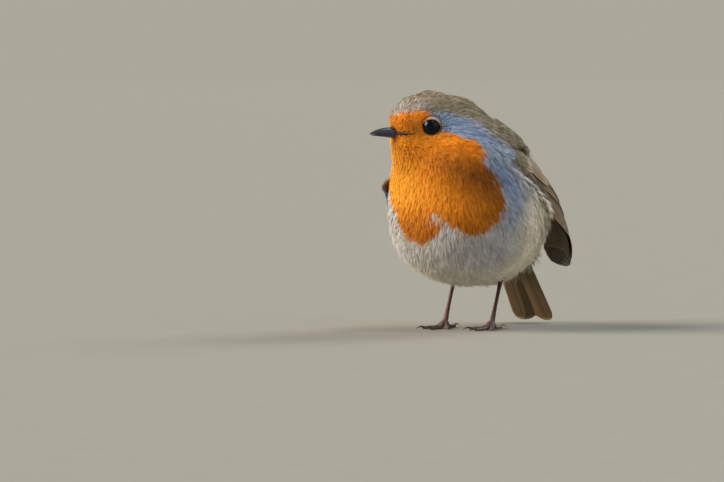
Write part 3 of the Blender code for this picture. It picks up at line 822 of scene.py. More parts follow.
REGIONS = [  # name, locks, spacing in mm, rise, unruly, paint, solids
    ("coat_face", FACE_LOCKS, 0.24, 0.09, 0.16, "plumage_orange", ("head",)),
    ("coat_crown", FACE_LOCKS, 0.26, 0.08, 0.16, "plumage_brown", ("head",)),
    ("coat_neck", BODY_LOCKS, 0.38, 0.10, 0.16, "plumage_orange", ("head", "neck")),
    ("coat_breast_right", BODY_LOCKS, 0.40, 0.10, 0.16, "plumage_orange", ("neck", "trunk")),
    ("coat_belly", DOWN_LOCKS, 0.46, 0.09, 0.16, "plumage_white", ("trunk",)),
    ("coat_breast_left", BODY_LOCKS, 0.40, 0.10, 0.16, "plumage_orange", ("neck", "trunk")),
    ("coat_flank_left", DOWN_LOCKS, 0.45, 0.10, 0.18, "plumage_white", ("trunk",)),
    ("coat_back", BODY_LOCKS, 0.42, 0.08, 0.13, "plumage_brown", ("trunk", "neck")),
    ("coat_rump", BODY_LOCKS, 0.45, 0.03, 0.08, "plumage_brown", ("rump",)),
    ("coat_undertail", DOWN_LOCKS, 0.52, 0.05, 0.12, "plumage_white", ("rump", "trunk")),
]

for number, (name, locks, spacing, rise, unruly, slot, nodes) in enumerate(REGIONS):
    plot = part_of(skin.data, lambda corners: np.bincount(region[corners], minlength=10).argmax() == number)
    place_piece(plant(plot, name, locks, spacing, 11 + number, rise, unruly), nodes)

# %% [markdown]
# ## Vanes
# A flight feather is a stiff vane: a shaft with a web on each side, very thin, slightly domed, narrow at
# the root and rounded at the tip. One function lofts such a vane along any surface, closed on both faces.
# Every point keeps where it lies in its feather, so that one material can paint shaft, webs, barbs and
# edges on all of them.

# %% Loft one vane
WEB_EDGE = 0.07 * MM
SHAFT_DEPTH = 0.20 * MM
ROWS, COLUMNS = 18, 8


def open_vanes():
    """An empty mesh with the layers that vanes need."""
    bm = bmesh.new()
    names = ("across", "rim", "along", "tone", "kind", "under")
    floats = {name: bm.verts.layers.float.new(name) for name in names}
    return bm, floats, bm.verts.layers.float_vector.new("vane_place"), bm.loops.layers.uv.new("OFBake")


def vane(vanes, place, half, reach, cell, tone, kind, shaft, roundness, root=0.45):
    """place(t, u) is the point and outward normal at t from root to tip and u metres across the shaft.

    half is the half width, reach the length and cell the feather's square of the map, as x, y and size.
    shaft is the shaft's own place across, from -1 to 1, roundness the share of the length over which the tip
    closes, and root the share of the width at the root.
    """
    bm, floats, vane_place, uv = vanes
    rings = []
    for i in range(ROWS + 1):
        t = math.sin(i / ROWS * math.pi / 2) ** 0.8
        swell = root + (1 - root) * float(smooth(t, 0.0, 0.45))
        tip = math.sqrt(max(0.0, 1 - (max(0.0, t - 1 + roundness) / (roundness + 0.0006)) ** 2))
        wide = half * swell * max(tip, 0.04)
        ring = []
        for j in range(2 * COLUMNS):
            under = j >= COLUMNS
            v = 2 * (2 * COLUMNS - 1 - j if under else j) / (COLUMNS - 1) - 1
            point, out = place(t, v * wide)
            near_shaft = max(0.0, 1 - abs(v - shaft) / 0.75) ** 2
            thick = WEB_EDGE + (SHAFT_DEPTH - WEB_EDGE) * near_shaft * (1 - 0.6 * t)
            thick *= 0.35 + 0.65 * tip
            dome = 0.02 * half * (1 - v * v) * tip
            vert = bm.verts.new(point + out * (dome + (-thick / 2 if under else thick / 2)))
            facts = {"across": v - shaft, "rim": v, "along": t, "tone": tone, "kind": kind, "under": under}
            for name, value in facts.items():
                vert[floats[name]] = value
            vert[vane_place] = (v * wide, t * reach, kind)
            ring.append((vert, v, under, t))
        rings.append(ring)

    def put(corners, flat):
        face = bm.faces.new([c[0] for c in corners])
        for corner, (_, v, under, t) in zip(face.loops, corners):
            side = 0.02 + 0.46 * (v + 1) / 2 if flat else 0.02
            x, y = side + 0.5 * flat * under, 0.02 + 0.96 * t
            corner[uv].uv = (cell[0] + cell[2] * x, cell[1] + cell[2] * y)

    for low, high in zip(rings, rings[1:]):
        for j in range(2 * COLUMNS):
            k = (j + 1) % (2 * COLUMNS)
            put((low[j], low[k], high[k], high[j]), j not in (COLUMNS - 1, 2 * COLUMNS - 1))
    put(list(reversed(rings[0])), False)
    put(rings[-1], False)


print("a vane has", 2 * (2 * COLUMNS * ROWS + 2 * COLUMNS - 2), "triangles")

# %% [markdown]
# Flight feathers are dark brown with paler edges: a narrow buff edge on the outer web, a whitish one
# inside, a faint pale line along both edges and a fine pale rim round the tip. These are partly the
# feathers' own pale fringes and partly painted rim light, the glow of the light from behind on their edges.
# The alula, the primary coverts and, less, the primaries are darker, partly their own colour and partly
# painted shade in the gap between wing and flank. Seen close, the web is ruled by barbs that slant from the
# shaft to the edge. Coverts carry more olive, and their edges are warmer. The keratin is half matt, so a
# vane has a soft gleam along its bow. Real barbs are 0.1 mm apart, and the pattern is drawn coarser so
# that it shows.

# %% Vane material
COVERT_BROWN, COVERT_OLIVE = "#8A775C", "#B8A888"
LEADING_DARK, LEADING_BROWN = "#2A1C13", "#614528"
SHAFT_BROWN = "#33271D"
BARB_SPACING = 0.45 * MM


def vane_material(name, dark, brown, outer_edge, inner_edge, beneath):
    """Keratin vanes. kind is -0.5 on the dark leading feathers, 0 on the tail and up to 0.9 on coverts."""
    made, tree, shader = material(name, 0.5, 0.35)
    across, rim, along, tone, kind, under = (
        add(tree, "ShaderNodeAttribute", attribute_name=key).outputs["Fac"]
        for key in ("across", "rim", "along", "tone", "kind", "under"))
    place = add(tree, "ShaderNodeAttribute", attribute_name="vane_place").outputs["Vector"]
    split = add(tree, "ShaderNodeSeparateXYZ", (place,)).outputs
    off_shaft, spread, margin = (add(tree, "ShaderNodeMath", (value,), operation="ABSOLUTE").outputs[0]
                                 for value in (split[0], across, rim))
    slant = add(tree, "ShaderNodeMath", (off_shaft, -0.8, split[1]), operation="MULTIPLY_ADD").outputs[0]
    drawn_out = add(tree, "ShaderNodeMath", (off_shaft, 0.15), operation="MULTIPLY").outputs[0]
    ruled = add(tree, "ShaderNodeCombineXYZ", (slant, drawn_out)).outputs[0]
    ruling = {"Vector": ruled, "Scale": 1 / BARB_SPACING, "Detail": 2.0}
    barbs = add(tree, "ShaderNodeTexNoise", ruling).outputs["Fac"]
    uneven = add(tree, "ShaderNodeMath", (barbs, tone), operation="ADD").outputs[0]
    ranges = {
        "brown": (uneven, 0.5, 1.5),
        "leading": (kind, -0.1, -0.5),
        "streaked": (barbs, 0.35, 0.65),
        "pale": (kind, -0.5, 0.0, 0.2, 1.0),  # the leading feathers have little of the pale edges
        "outer": (rim, -0.66, -0.90),
        "worn": (barbs, 0.2, 0.7, 0.55, 1.0),
        "inner": (rim, 0.88, 1.0),
        "margin": (margin, 0.94, 1.0, 0.0, 0.35),
        "tip": (along, 0.972, 0.996),
        "shaft": (spread, 0.08, 0.04, 0.0, 0.7),
        "rough": (barbs, 0.2, 0.8, 0.5, 0.68),
    }
    part = {key: add(tree, "ShaderNodeMapRange", values).outputs[0] for key, values in ranges.items()}
    for key in ("outer", "tip"):
        part[key] = add(tree, "ShaderNodeMath", (part[key], part["pale"]), operation="MULTIPLY").outputs[0]
    colour = paint(
        tree,
        (part["brown"], dark, brown),
        (kind, (barbs, COVERT_BROWN, COVERT_OLIVE)),
        # the leading feathers are darker, partly their own colour and partly painted shade in the gap between
        # wing and flank
        (part["leading"], (part["streaked"], LEADING_DARK, LEADING_BROWN)),
        (part["outer"], (part["worn"], brown, outer_edge)),
        (part["inner"], inner_edge),
        # partly painted rim light: the pale edges and tip stand in part for the light from behind on the rims
        (under, (barbs, dark, beneath)),
        (part["margin"], inner_edge),
        (part["tip"], inner_edge),
        (part["shaft"], SHAFT_BROWN),
    )
    bump = add(tree, "ShaderNodeBump", {"Height": barbs, "Strength": 0.5, "Distance": 0.05 * MM}).outputs[0]
    feed(tree, shader, {"Base Color": colour, "Roughness": part["rough"], "Normal": bump})
    return made


wing_finish = vane_material("wing_feathers", "#43362A", "#62523F", "#9C7E59", "#B9AC9A", "#4A392A")
tail_finish = vane_material("tail_feathers", "#5F4C35", "#6F5A40", "#846C4C", "#A8926F", "#7E6648")
print("vane material:", len(wing_finish.node_tree.nodes), "nodes")

# %% [markdown]
# ## Wings
# A folded wing is a stack of vanes. Nine primaries run to the tip along its lower edge, six secondaries lie
# over them, and three broad tertials cover the fold at the top. Rows of coverts roof their roots. The
# surface they lie on is the same as the solid's: it runs from wrist to tip with a bow outwards and turns to
# face backwards.

# %% The wing's surface
WING_BOW = 7.6 * MM
BOW_AT = 0.64  # share of the way from wrist to tip
WING_DROOP = {1: 0.0, -1: 2.3 * MM}  # how far the right wing hangs out below its wrist
WING_WIDTH = 19.0 * MM
TIP_TUCK = 1.0 * MM  # how far the tip turns back in


def wing_width(s):
    """Width at s from wrist to tip, before the tip is rounded."""
    opening = math.sqrt(min(1.0, max(0.0, s + 0.04) / 0.34))
    return WING_WIDTH * opening * (1 - 0.34 * float(smooth(s, 0.45, 0.9)))


def wing_point(side, s, a, lift):
    """Point and outward direction at s along the wing, a metres up from its leading line and lift out."""
    along = (TIP[side] - WRIST[side]).normalized()
    bow_reach = 0.34 if s < BOW_AT else 0.23
    bow = WING_BOW * math.exp(-(((s - BOW_AT) / bow_reach) ** 2)) - TIP_TUCK * max(s - 0.8, 0.0) / 0.2
    line = WRIST[side].lerp(TIP[side], s) + Vector((side * bow, 0, 0))
    line += Vector((side, 0, -1.5)) * WING_DROOP[side] * math.exp(-(((s - 0.18) / 0.12) ** 2))
    lay = float(smooth(s, 0.25, 1.0))
    face = Vector((side * 0.86, 0.0, 0.5)).lerp(Vector((side * 0.42, 0.62, 0.66)), lay)
    up = face.cross(along) * side
    up = (up - up.dot(along) * along).normalized()
    out = up.cross(along).normalized() * -side
    width = wing_width(s)
    b = min(1.0, max(0.0, a / max(width, 1e-5)))
    return line + up * a + out * (0.16 * width * math.sin(math.pi * b) + lift), out


for side, word in SIDES.items():
    print(word, "wing's tip at", [round(c / MM, 1) for c in wing_point(side, 1.0, 0.0, 0.0)[0]], "mm")

# %% [markdown]
# Each row of feathers is one entry of a table. From the first feather of a row to the last, roots and tips
# move evenly up the wing, and each feather lies a little further out than the one before. The tips of the
# primaries are drawn back on an arc, which gives the wing its rounded end.

# %% Lay both wings
WING_LENGTH = 71 * MM
MAP_GRID = 7  # feathers to a side of the wing's map
PRIMARY_ARC = 0.0062
# name, count, then the first and last feather's root s, tip s, root a, tip a, lift and half width, the last
# four in mm, then kind, shaft and roundness
FEATHER_ROWS = [
    ("primary", 9, (0.16, 0.20), (1.05, 1.05), (3.0, 12.0), (3.2, 12.4), (-1.5, -0.6), (3.6, 3.4),
     -0.24, -0.30, 0.10),
    ("secondary", 6, (0.16, 0.16), (0.73, 0.62), (8.0, 14.0), (12.2, 15.2), (-0.45, 0.15), (3.5, 3.6),
     0.1, -0.25, 0.12),
    ("tertial", 3, (0.12, 0.12), (0.64, 0.48), (12.5, 15.5), (14.4, 15.8), (0.3, 0.6), (3.9, 3.6),
     0.3, -0.1, 0.2),
    ("primary_covert", 5, (0.06, 0.10), (0.42, 0.34), (2.6, 7.6), (2.4, 7.8), (0.0, 0.4), (1.6, 1.8),
     -0.5, 0.0, 0.2),
    ("greater_covert", 8, (0.10, 0.08), (0.40, 0.34), (7.6, 16.2), (8.6, 16.4), (0.6, 1.3), (2.3, 2.4),
     0.6, 0.0, 0.22),
    ("alula", 3, (0.00, 0.05), (0.22, 0.30), (2.2, 3.8), (1.6, 3.2), (0.6, 0.85), (1.3, 1.4),
     -0.5, 0.0, 0.2),
    ("median_covert", 8, (0.02, 0.02), (0.25, 0.21), (5.6, 14.8), (6.4, 15.9), (0.9, 1.6), (2.1, 2.1),
     0.9, 0.0, 0.25),
]
vane_rng = random.Random(5)


def lay_wing(side, word):
    vanes = open_vanes()
    count = 0
    for group, many, *ends, kind, shaft, roundness in FEATHER_ROWS:
        for k in range(many):
            share = k / (many - 1)
            s0, s1, a0, a1, lift, half = (first + (last - first) * share for first, last in ends)
            if group == "primary":
                s1 -= PRIMARY_ARC * (k - 4.5) ** 2
            s1 += vane_rng.uniform(-0.004, 0.004)

            def place(t, u, s0=s0, s1=s1, a0=a0, a1=a1, lift=lift):
                a = (a0 + (a1 - a0) * t**1.3) * MM + u
                return wing_point(side, s0 + (s1 - s0) * t, a, lift * MM * (1 - 0.25 * t) - 0.03 * u)

            cell = ((count % MAP_GRID) / MAP_GRID, (count // MAP_GRID) / MAP_GRID, 0.96 / MAP_GRID)
            reach = (s1 - s0) * WING_LENGTH
            vane(vanes, place, half * MM, reach, cell, vane_rng.random(), kind, shaft, roundness)
            count += 1
    feathers = object_from(vanes[0], f"wing_feathers_{word}")
    finished(feathers, [f"wing_{word}"], wing_finish)


for side, word in SIDES.items():
    lay_wing(side, word)

# %% [markdown]
# Under the vanes lies the wing's flesh, a lens that is thickest at the wrist. Its front carries the lesser
# coverts, small feathers of the same kind as the body's, planted on it by the same tree. It is lofted from
# rings, as are the lids, the bill and the legs later.

# %% Wing flesh and lesser coverts
COVERTS_END = 0.15
ALONG_STEPS, ROUND_STEPS = 44, 36


def loft(bm, rings, cap=True):
    """Joins rings of points with quads. Returns the rings as vertices."""
    made = [[bm.verts.new(p) for p in ring] for ring in rings]
    for low, high in zip(made, made[1:]):
        for j in range(len(low)):
            k = (j + 1) % len(low)
            bm.faces.new((low[j], low[k], high[k], high[j]))
    if cap:
        bm.faces.new(list(reversed(made[0])))
        bm.faces.new(made[-1])
    return made


def flesh_mesh(side, word):
    """The lens of flesh, with each point's place along the wing, across it and over it."""
    bm = bmesh.new()
    uv = bm.loops.layers.uv.new("OFBake")
    rings, facts = [], []
    for i in range(ALONG_STEPS + 1):
        at = -0.037 + 0.90 * (i / ALONG_STEPS) ** 1.3
        width = wing_width(at)
        thick = 1.5 * (1 - 0.85 * float(smooth(at, 0.12, 0.5))) * min(1.0, (at + 0.04) / 0.10) ** 0.5
        sunk = -0.3 - 2.0 * float(smooth(at, 0.14, 0.34))
        ring = []
        for k in range(ROUND_STEPS):
            a = math.tau * k / ROUND_STEPS
            b = 0.5 - 0.5 * math.cos(a)
            point, _ = wing_point(side, at, width * b, (sunk + thick * math.sin(a)) * MM)
            ring.append(point)
            facts.append((at, b, math.sin(a)))
        rings.append(ring)
    loft(bm, rings)
    bm.verts.index_update()
    for face in bm.faces:
        places = [divmod(corner.vert.index, ROUND_STEPS) for corner in face.loops]
        wraps = {0, ROUND_STEPS - 1} <= {k for _, k in places}
        for corner, (i, k) in zip(face.loops, places):
            corner[uv].uv = (i / ALONG_STEPS, (ROUND_STEPS if wraps and k == 0 else k) / ROUND_STEPS)
    return object_from(bm, f"wing_flesh_{word}"), np.array(facts).T


def wing_flesh(side, word):
    flesh, (at, across, over) = flesh_mesh(side, word)
    out = np.array([v.normal for v in flesh.data.vertices])
    along = np.tile(np.array((TIP[side] - WRIST[side]).normalized()), (len(out), 1))
    edge = smooth(across, 0.22, 0.02) * smooth(at, 0.2, 0.05)
    bend = smooth(at, 0.06, 0.0) if side > 0 else 0 * at  # the breast's feathers lie over the left bend
    floats = {"border": np.maximum(0.75 * edge, bend), "silver": 0.5 * bend, "olive": (1 - edge) * (1 - bend),
              "length": (2.3 + 2.2 * smooth(at, 0.0, 0.2)) * MM, "ruffle": np.ones(len(at)),
              "open_coat": smooth(over, -0.5, -0.2)}
    store(flesh.data, floats, {"lie": flattened(along, out), "outward": out})
    front = part_of(flesh.data, lambda corners: at[corners].mean() <= COVERTS_END)
    finished(flesh, [f"wing_{word}"], skin_finish)
    coverts = plant(front, f"lesser_coverts_{word}", BODY_LOCKS, 0.42, seed=40 + side, rise=0.06, unruly=0.12)
    place_piece(coverts, [f"wing_{word}"])


for side, word in SIDES.items():
    wing_flesh(side, word)

# %% [markdown]
# ## Tail
# Twelve tail feathers are laid the way the solids are: the middle pair on top, the outer ones lower in the
# stack and fanned out a little.

# %% Lay the tail
TAIL_COUNT = 12
TAIL_LENGTH = 56.0 * MM
TAIL_FAN = 3.0  # degrees, and mm at the root, that the outermost feather is off the middle

vanes = open_vanes()
for index in range(TAIL_COUNT):
    off = index - (TAIL_COUNT - 1) / 2
    side, outer = (1 if off > 0 else -1), abs(off) / ((TAIL_COUNT - 1) / 2)
    reach = TAIL_LENGTH * (1 - 0.05 * (1 - outer) ** 2 - 0.02 * outer**3)
    fan = TAIL @ Matrix.Translation((side * outer * TAIL_FAN * MM, 0, 0))
    fan = fan @ Matrix.Rotation(-math.radians(TAIL_FAN) * side * outer, 4, "Z")
    up = fan.to_3x3() @ Vector((0, 0, 1))

    def place(t, u, fan=fan, up=up, side=side, off=off, reach=reach):
        drop = -0.32 * MM * abs(off) - 0.05 * MM * (off > 0) - 0.06 * side * u
        return fan @ Vector((u, t * reach, drop)), up

    cell = ((index % 4) / 4, (index // 4) / 4, 0.96 / 4)
    vane(vanes, place, 3.1 * MM, reach, cell, vane_rng.random(), 0.0, -0.2 * side, 0.09, root=0.55)
finished(object_from(vanes[0], "tail_feathers"), ["tail"], tail_finish)

# %% [markdown]
# ## Eyes
# The eye is a wet, nearly black ball: a dark brown iris round a wide pupil under a clear cornea, so it
# mirrors the lights sharply. Its lids make a ring that follows the face, dark and bare at the rim. Their
# skin is thin, pebbled and soft, so it's matt and warm.

# %% Finishes of eye and lids
eye_finish, tree, shader = material("wet_eye", 0.04, 0.35)
gaze = add(tree, "ShaderNodeAttribute", attribute_name="gaze").outputs["Fac"]  # 1 at the middle of the pupil
place = add(tree, "ShaderNodeTexCoord").outputs["Object"]
streaks = add(tree, "ShaderNodeTexNoise", {"Vector": place, "Scale": 3000.0, "Detail": 2.0}).outputs["Fac"]
in_iris = add(tree, "ShaderNodeMapRange", (gaze, 0.90, 0.86)).outputs[0]
past_iris = add(tree, "ShaderNodeMapRange", (gaze, 0.62, 0.56)).outputs[0]
colour = paint(tree, "#020408", (in_iris, (streaks, "#0A0706", "#15100D")), (past_iris, "#030507"))
feed(tree, shader, {"Base Color": colour, "IOR": 1.42, "Specular Tint": (0.55, 0.75, 1.0, 1.0)})

lid_finish, tree, shader = material("eyelid_skin", 0.6, 0.3)
rim = add(tree, "ShaderNodeAttribute", attribute_name="rim").outputs["Fac"]
place = add(tree, "ShaderNodeTexCoord").outputs["Object"]
pebbles = add(tree, "ShaderNodeTexVoronoi", {"Vector": place, "Scale": 3200.0}).outputs["Distance"]
warm = add(tree, "ShaderNodeMapRange", (pebbles, 0.0, 0.6)).outputs[0]
bump = add(tree, "ShaderNodeBump", {"Height": pebbles, "Strength": 0.4, "Distance": 0.05 * MM}).outputs[0]
colour = paint(tree, "#1A1310", (rim, (warm, "#E3BE8E", "#BC8A52")))
feed(tree, shader, {"Base Color": colour, "Normal": bump})
print("eye and lid finishes:", eye_finish.name, lid_finish.name)

# %% [markdown]
# Each eyeball is a sphere that faces the way the cheek does, a little downwards. The lid is lofted from
# rings round that axis: the inner ones stand on the eyeball, the outer ones on the skin, which a ray finds.
# Minute pale feathers are planted on the lid's outer half.

# %% Eyes and lids
RIM_WIDE = 3.2 * MM
RIM_HIGH = 2.9 * MM
# how far out from the eye's axis, as a share of the opening; height above what lies below, in mm; and how
# much of that is the face instead of the eyeball
LID_PROFILE = [(0.95, -0.05, 0.0), (0.975, 0.10, 0.0), (1.0, 0.20, 0.0), (1.035, 0.24, 0.1),
               (1.08, 0.20, 0.35), (1.14, 0.12, 0.6), (1.23, 0.0, 0.85), (1.34, -0.1, 1.0)]
LID_ROUND = 64
EYE_DIP = 0.27  # how much the eye looks down from the cheek's own facing
skin_points = vertex_array(skin.data)
skin_finder = finder(skin_points)
skin_tree = surface_tree(skin.data)


def eyeball(word, facing):
    bm = bmesh.new()
    gaze_layer = bm.verts.layers.float.new("gaze")
    bmesh.ops.create_uvsphere(bm, u_segments=48, v_segments=32, radius=EYE_RADIUS)
    turn = facing.to_track_quat("Z", "Y").to_matrix()
    for vert in bm.verts:
        vert[gaze_layer] = vert.co.z / EYE_RADIUS
        vert.co = EYE[word] + turn @ vert.co
    finished(object_from(bm, f"eye_ball_{word}"), [f"eye_{word}"], eye_finish)


def lid_mesh(word, facing):
    centre = EYE[word]
    forwards = (head_forward - head_forward.dot(facing) * facing).normalized()
    upwards = facing.cross(forwards) * (1 if word == "right" else -1)
    bm = bmesh.new()
    uv = bm.loops.layers.uv.new("OFBake")
    rings = []
    for reach, above, share in LID_PROFILE:
        ring = []
        for k in range(LID_ROUND):
            a = math.tau * k / LID_ROUND
            pinch = 1 + 0.06 * abs(math.cos(a)) ** 6
            ray = forwards * math.cos(a) * RIM_WIDE * pinch + upwards * math.sin(a) * RIM_HIGH
            flat = ray * reach
            hit = skin_tree.ray_cast(centre + flat + facing * 9 * MM, -facing, 12 * MM)[0]
            ball = math.sqrt(EYE_RADIUS**2 - (ray.length * min(reach, 1.05)) ** 2)
            face = max(ball - 1.0 * MM, (hit - centre).dot(facing) if hit is not None else ball)
            ring.append(centre + flat + facing * ((1 - share) * ball + share * face + above * MM))
        rings.append(ring)
    loft(bm, rings, cap=False)
    bm.verts.index_update()
    for face in bm.faces:
        for corner in face.loops:
            i, k = divmod(corner.vert.index, LID_ROUND)
            spread = 0.1 + 0.4 * i / len(LID_PROFILE)
            a = math.tau * k / LID_ROUND
            corner[uv].uv = (0.5 + spread * math.cos(a), 0.5 + spread * math.sin(a))
    return object_from(bm, f"eyelid_{word}")


for word, centre in EYE.items():
    away = np.linalg.norm(skin_points - np.array(centre), axis=1)
    close = (away > EYE_RADIUS + 1.0 * MM) & (away < EYE_RADIUS + 2.6 * MM)
    facing = Vector(normals[close].mean(axis=0)).normalized()
    facing = (facing - Vector((0, 0, EYE_DIP))).normalized()
    eyeball(word, facing)
    lid = lid_mesh(word, facing)
    spots = vertex_array(lid.data)
    nearest = [skin_finder.find(p)[1] for p in spots]
    out = np.array([v.normal for v in lid.data.vertices])
    out *= np.sign(out @ np.array(facing))[:, None]
    away = flattened(spots - np.array(centre + facing * 2 * MM), out)
    reach = np.repeat([row[0] for row in LID_PROFILE], LID_ROUND)
    floats = {name: values[nearest] for name, values in MASKS.items()}
    floats |= {"rim": smooth(reach, 0.98, 1.04), "ring": smooth(reach, 1.24, 1.12),
               "length": (0.55 + 0.7 * smooth(reach, 1.05, 1.4)) * MM, "ruffle": np.ones(len(reach)),
               "open_coat": smooth(reach, 1.04, 1.08)}
    store(lid.data, floats, {"lie": away, "outward": out})
    feathers = plant(lid.data.copy(), f"eye_ring_{word}", FACE_LOCKS, 0.13, seed=60, rise=0.12, unruly=0.2)
    place_piece(feathers, ["head"])
    finished(lid, ["head"], lid_finish)

# %% [markdown]
# ## Bill
# A robin's bill is fine and pointed, with a gently curved ridge. The upper mandible is lofted from half
# rounds with a keel and carries a slit nostril on each side. The lower one is shallower. Both run back
# under the feathers, so no gap shows at the root. The horn is keratin worn smooth in use: a dark satin,
# slate towards the tip and browner towards the gape.

# %% Bill horn
horn_finish, tree, shader = material("bill_horn", 0.34, 0.5, 0.15)
root_share, slit = (add(tree, "ShaderNodeAttribute", attribute_name=key).outputs["Fac"]
                    for key in ("root_share", "slit"))
place = add(tree, "ShaderNodeTexCoord").outputs["Object"]
cloud = add(tree, "ShaderNodeTexNoise", {"Vector": place, "Scale": 900.0, "Detail": 4.0}).outputs["Fac"]
at_root = add(tree, "ShaderNodeMapRange", (root_share, 0.72, 1.15)).outputs[0]
rough = add(tree, "ShaderNodeMapRange", (cloud, 0.2, 0.8, 0.26, 0.44)).outputs[0]
bump = add(tree, "ShaderNodeBump", {"Height": cloud, "Strength": 0.25, "Distance": 0.05 * MM}).outputs[0]
# the nostril slit is painted near black: painted shade inside its opening
colour = paint(tree, (cloud, "#20232E", "#3D4152"), (at_root, "#5A4038"), (slit, "#0A0808"))
feed(tree, shader, {"Base Color": colour, "Roughness": rough, "Normal": bump})
print("horn:", len(tree.nodes), "nodes")

# %% [markdown]
# A mandible's rings run from under the feathers to the tip. At each, the outer side is a half round and the
# inner one nearly flat, and both halves hook down a little at the tip.

# %% Bill
BILL_TIP_AT = 24.0 * MM
BILL_BACK = 7.6 * MM
BILL_FRONT = 10.2 * MM  # where the horn leaves the feathers
GAPE_LEVEL = -5.6 * MM
NOSTRIL_AT, NOSTRIL_LONG = 12.4 * MM, 0.9 * MM
BILL_STEPS, BILL_ROUND = 34, 26


def mandible(name, upper):
    bm = bmesh.new()
    root_layer, slit_layer = (bm.verts.layers.float.new(key) for key in ("root_share", "slit"))
    rings, marks = [], []
    for i in range(BILL_STEPS + 1):
        t = 1 - (1 - i / BILL_STEPS) ** 1.25
        forward = BILL_BACK + (BILL_TIP_AT - BILL_BACK) * t
        r = max(0.0, (forward - BILL_FRONT) / (BILL_TIP_AT - BILL_FRONT))
        behind = max(0.0, (BILL_FRONT - forward) / (BILL_FRONT - BILL_BACK))
        width = (2.5 * (1 - r) ** 0.85 + 0.22 * max(0.0, 1 - r**6)) * MM * (1 + 0.25 * behind)
        if upper:
            tall = (2.75 * (1 - r**2.1) ** 0.68 + 0.16) * MM
        else:
            tall = (1.35 * (1 - r**2.0) ** 0.75 + 0.12) * MM
            forward -= 0.7 * MM * r
        hook = (0.45 * r**4 - 0.25 * math.sin(math.pi * min(1.0, r))) * MM
        ring, mark = [], []
        for k in range(BILL_ROUND):
            a = math.tau * k / BILL_ROUND
            c, d = math.cos(a), math.sin(a)
            x = abs(c) ** (0.9 if upper else 0.8) * (1 if c > 0 else -1) * width
            if d >= 0:
                z = tall * d ** (1.15 if upper else 0.9)
            else:
                z = -0.35 * MM * abs(d) * (1 - r)  # a shallow inner face, so the gape shows no light
            slit = 0.0
            if upper and d > 0:
                off_slit = ((forward - NOSTRIL_AT) / NOSTRIL_LONG) ** 2 + ((z / tall - 0.42) / 0.13) ** 2
                slit = math.exp(-off_slit)
            x *= 1 - 0.10 * slit
            z = (1 if upper else -1) * (z + 0.03 * MM)
            ring.append(HEAD @ Vector((x, -forward, GAPE_LEVEL - hook + z)))
            mark.append((1 - r + 0.6 * behind, slit))
        rings.append(ring)
        marks.append(mark)
    for ring, mark in zip(loft(bm, rings), marks):
        for vert, (root_share, slit) in zip(ring, mark):
            vert[root_layer] = root_share
            vert[slit_layer] = slit
    return object_from(bm, name)


finished(mandible("bill_upper", True), ["upper_bill"], horn_finish)
finished(mandible("bill_lower", False), ["lower_bill"], horn_finish)

# %% [markdown]
# The gape runs on behind the horn as a fold of dark skin that narrows away under the cheek feathers. Rays
# from round the head, starting nearly straight ahead and ending at the side, find the cheek at each point
# of the fold, and a tapered, flattened tube is laid there. The skin is soft and dry, so it has little
# shine.

# %% The corners of the mouth
GAPE_TURN = (12.0, 84.0)  # degrees from straight ahead where the fold leaves the horn and where it ends
GAPE_STEPS, GAPE_ROUND = 24, 12
GAPE_START = 14 * MM  # how far out a ray starts
GAPE_FALLBACK = 5.0 * MM  # how far out the fold lies where a ray finds no cheek

gape_finish, tree, shader = material("gape_skin", 0.6, 0.15)
place = add(tree, "ShaderNodeTexCoord").outputs["Object"]
cloud = add(tree, "ShaderNodeTexNoise", {"Vector": place, "Scale": 1500.0, "Detail": 3.0}).outputs["Fac"]
bump = add(tree, "ShaderNodeBump", {"Height": cloud, "Strength": 0.3, "Distance": 0.05 * MM}).outputs[0]
feed(tree, shader, {"Base Color": paint(tree, (cloud, "#20150F", "#4A2E20")), "Normal": bump})

bm = bmesh.new()
for side in SIDES:
    rings = []
    for i in range(GAPE_STEPS + 1):
        t = i / GAPE_STEPS
        turn = math.radians(GAPE_TURN[0] * (1 - t) + GAPE_TURN[1] * t)
        outwards = Vector((side * math.sin(turn), -math.cos(turn), 0))
        centre = Vector((0, -9.0, -4.75 - 0.45 * t)) * MM
        ray_from, ray_along = HEAD @ (centre + outwards * GAPE_START), HEAD.to_3x3() @ -outwards
        cheek = skin_tree.ray_cast(ray_from, ray_along, GAPE_START)[0]
        found = (HEAD.inverted() @ cheek - centre).length if cheek is not None else GAPE_FALLBACK
        thick, high = (0.45 - 0.2 * t) * MM, 1.15 * MM * (1 - t) ** 0.8 + 0.05 * MM
        ring = []
        for k in range(GAPE_ROUND):
            a = math.tau * k / GAPE_ROUND
            off = outwards * (found + 0.12 * MM + thick * math.cos(a))
            ring.append(HEAD @ (centre + off + Vector((0, 0, high * math.sin(a)))))
        rings.append(ring)
    loft(bm, rings)
finished(object_from(bm, "mouth_corners"), ["lower_bill"], gape_finish)

# %% [markdown]
# Stiff dark bristles, feathers reduced to bare shafts, stand round the gape and point forwards and down.
# They are too thin to show more than one tone.

# %% Rictal bristles
BRISTLES = 7  # on each side
BRISTLE_RADII = [0.055 * MM, 0.045 * MM, 0.03 * MM, 0.008 * MM]


def spine(bm, path, radii, round_steps):
    """A round tube along path, closed at both ends."""
    rings = []
    for i, (point, radius) in enumerate(zip(path, radii)):
        ahead = (path[min(i + 1, len(path) - 1)] - path[max(i - 1, 0)]).normalized()
        turn = ahead.to_track_quat("Z", "Y").to_matrix()
        angles = (math.tau * k / round_steps for k in range(round_steps))
        rings.append([point + turn @ Vector((math.cos(a) * radius, math.sin(a) * radius, 0)) for a in angles])
    loft(bm, rings)


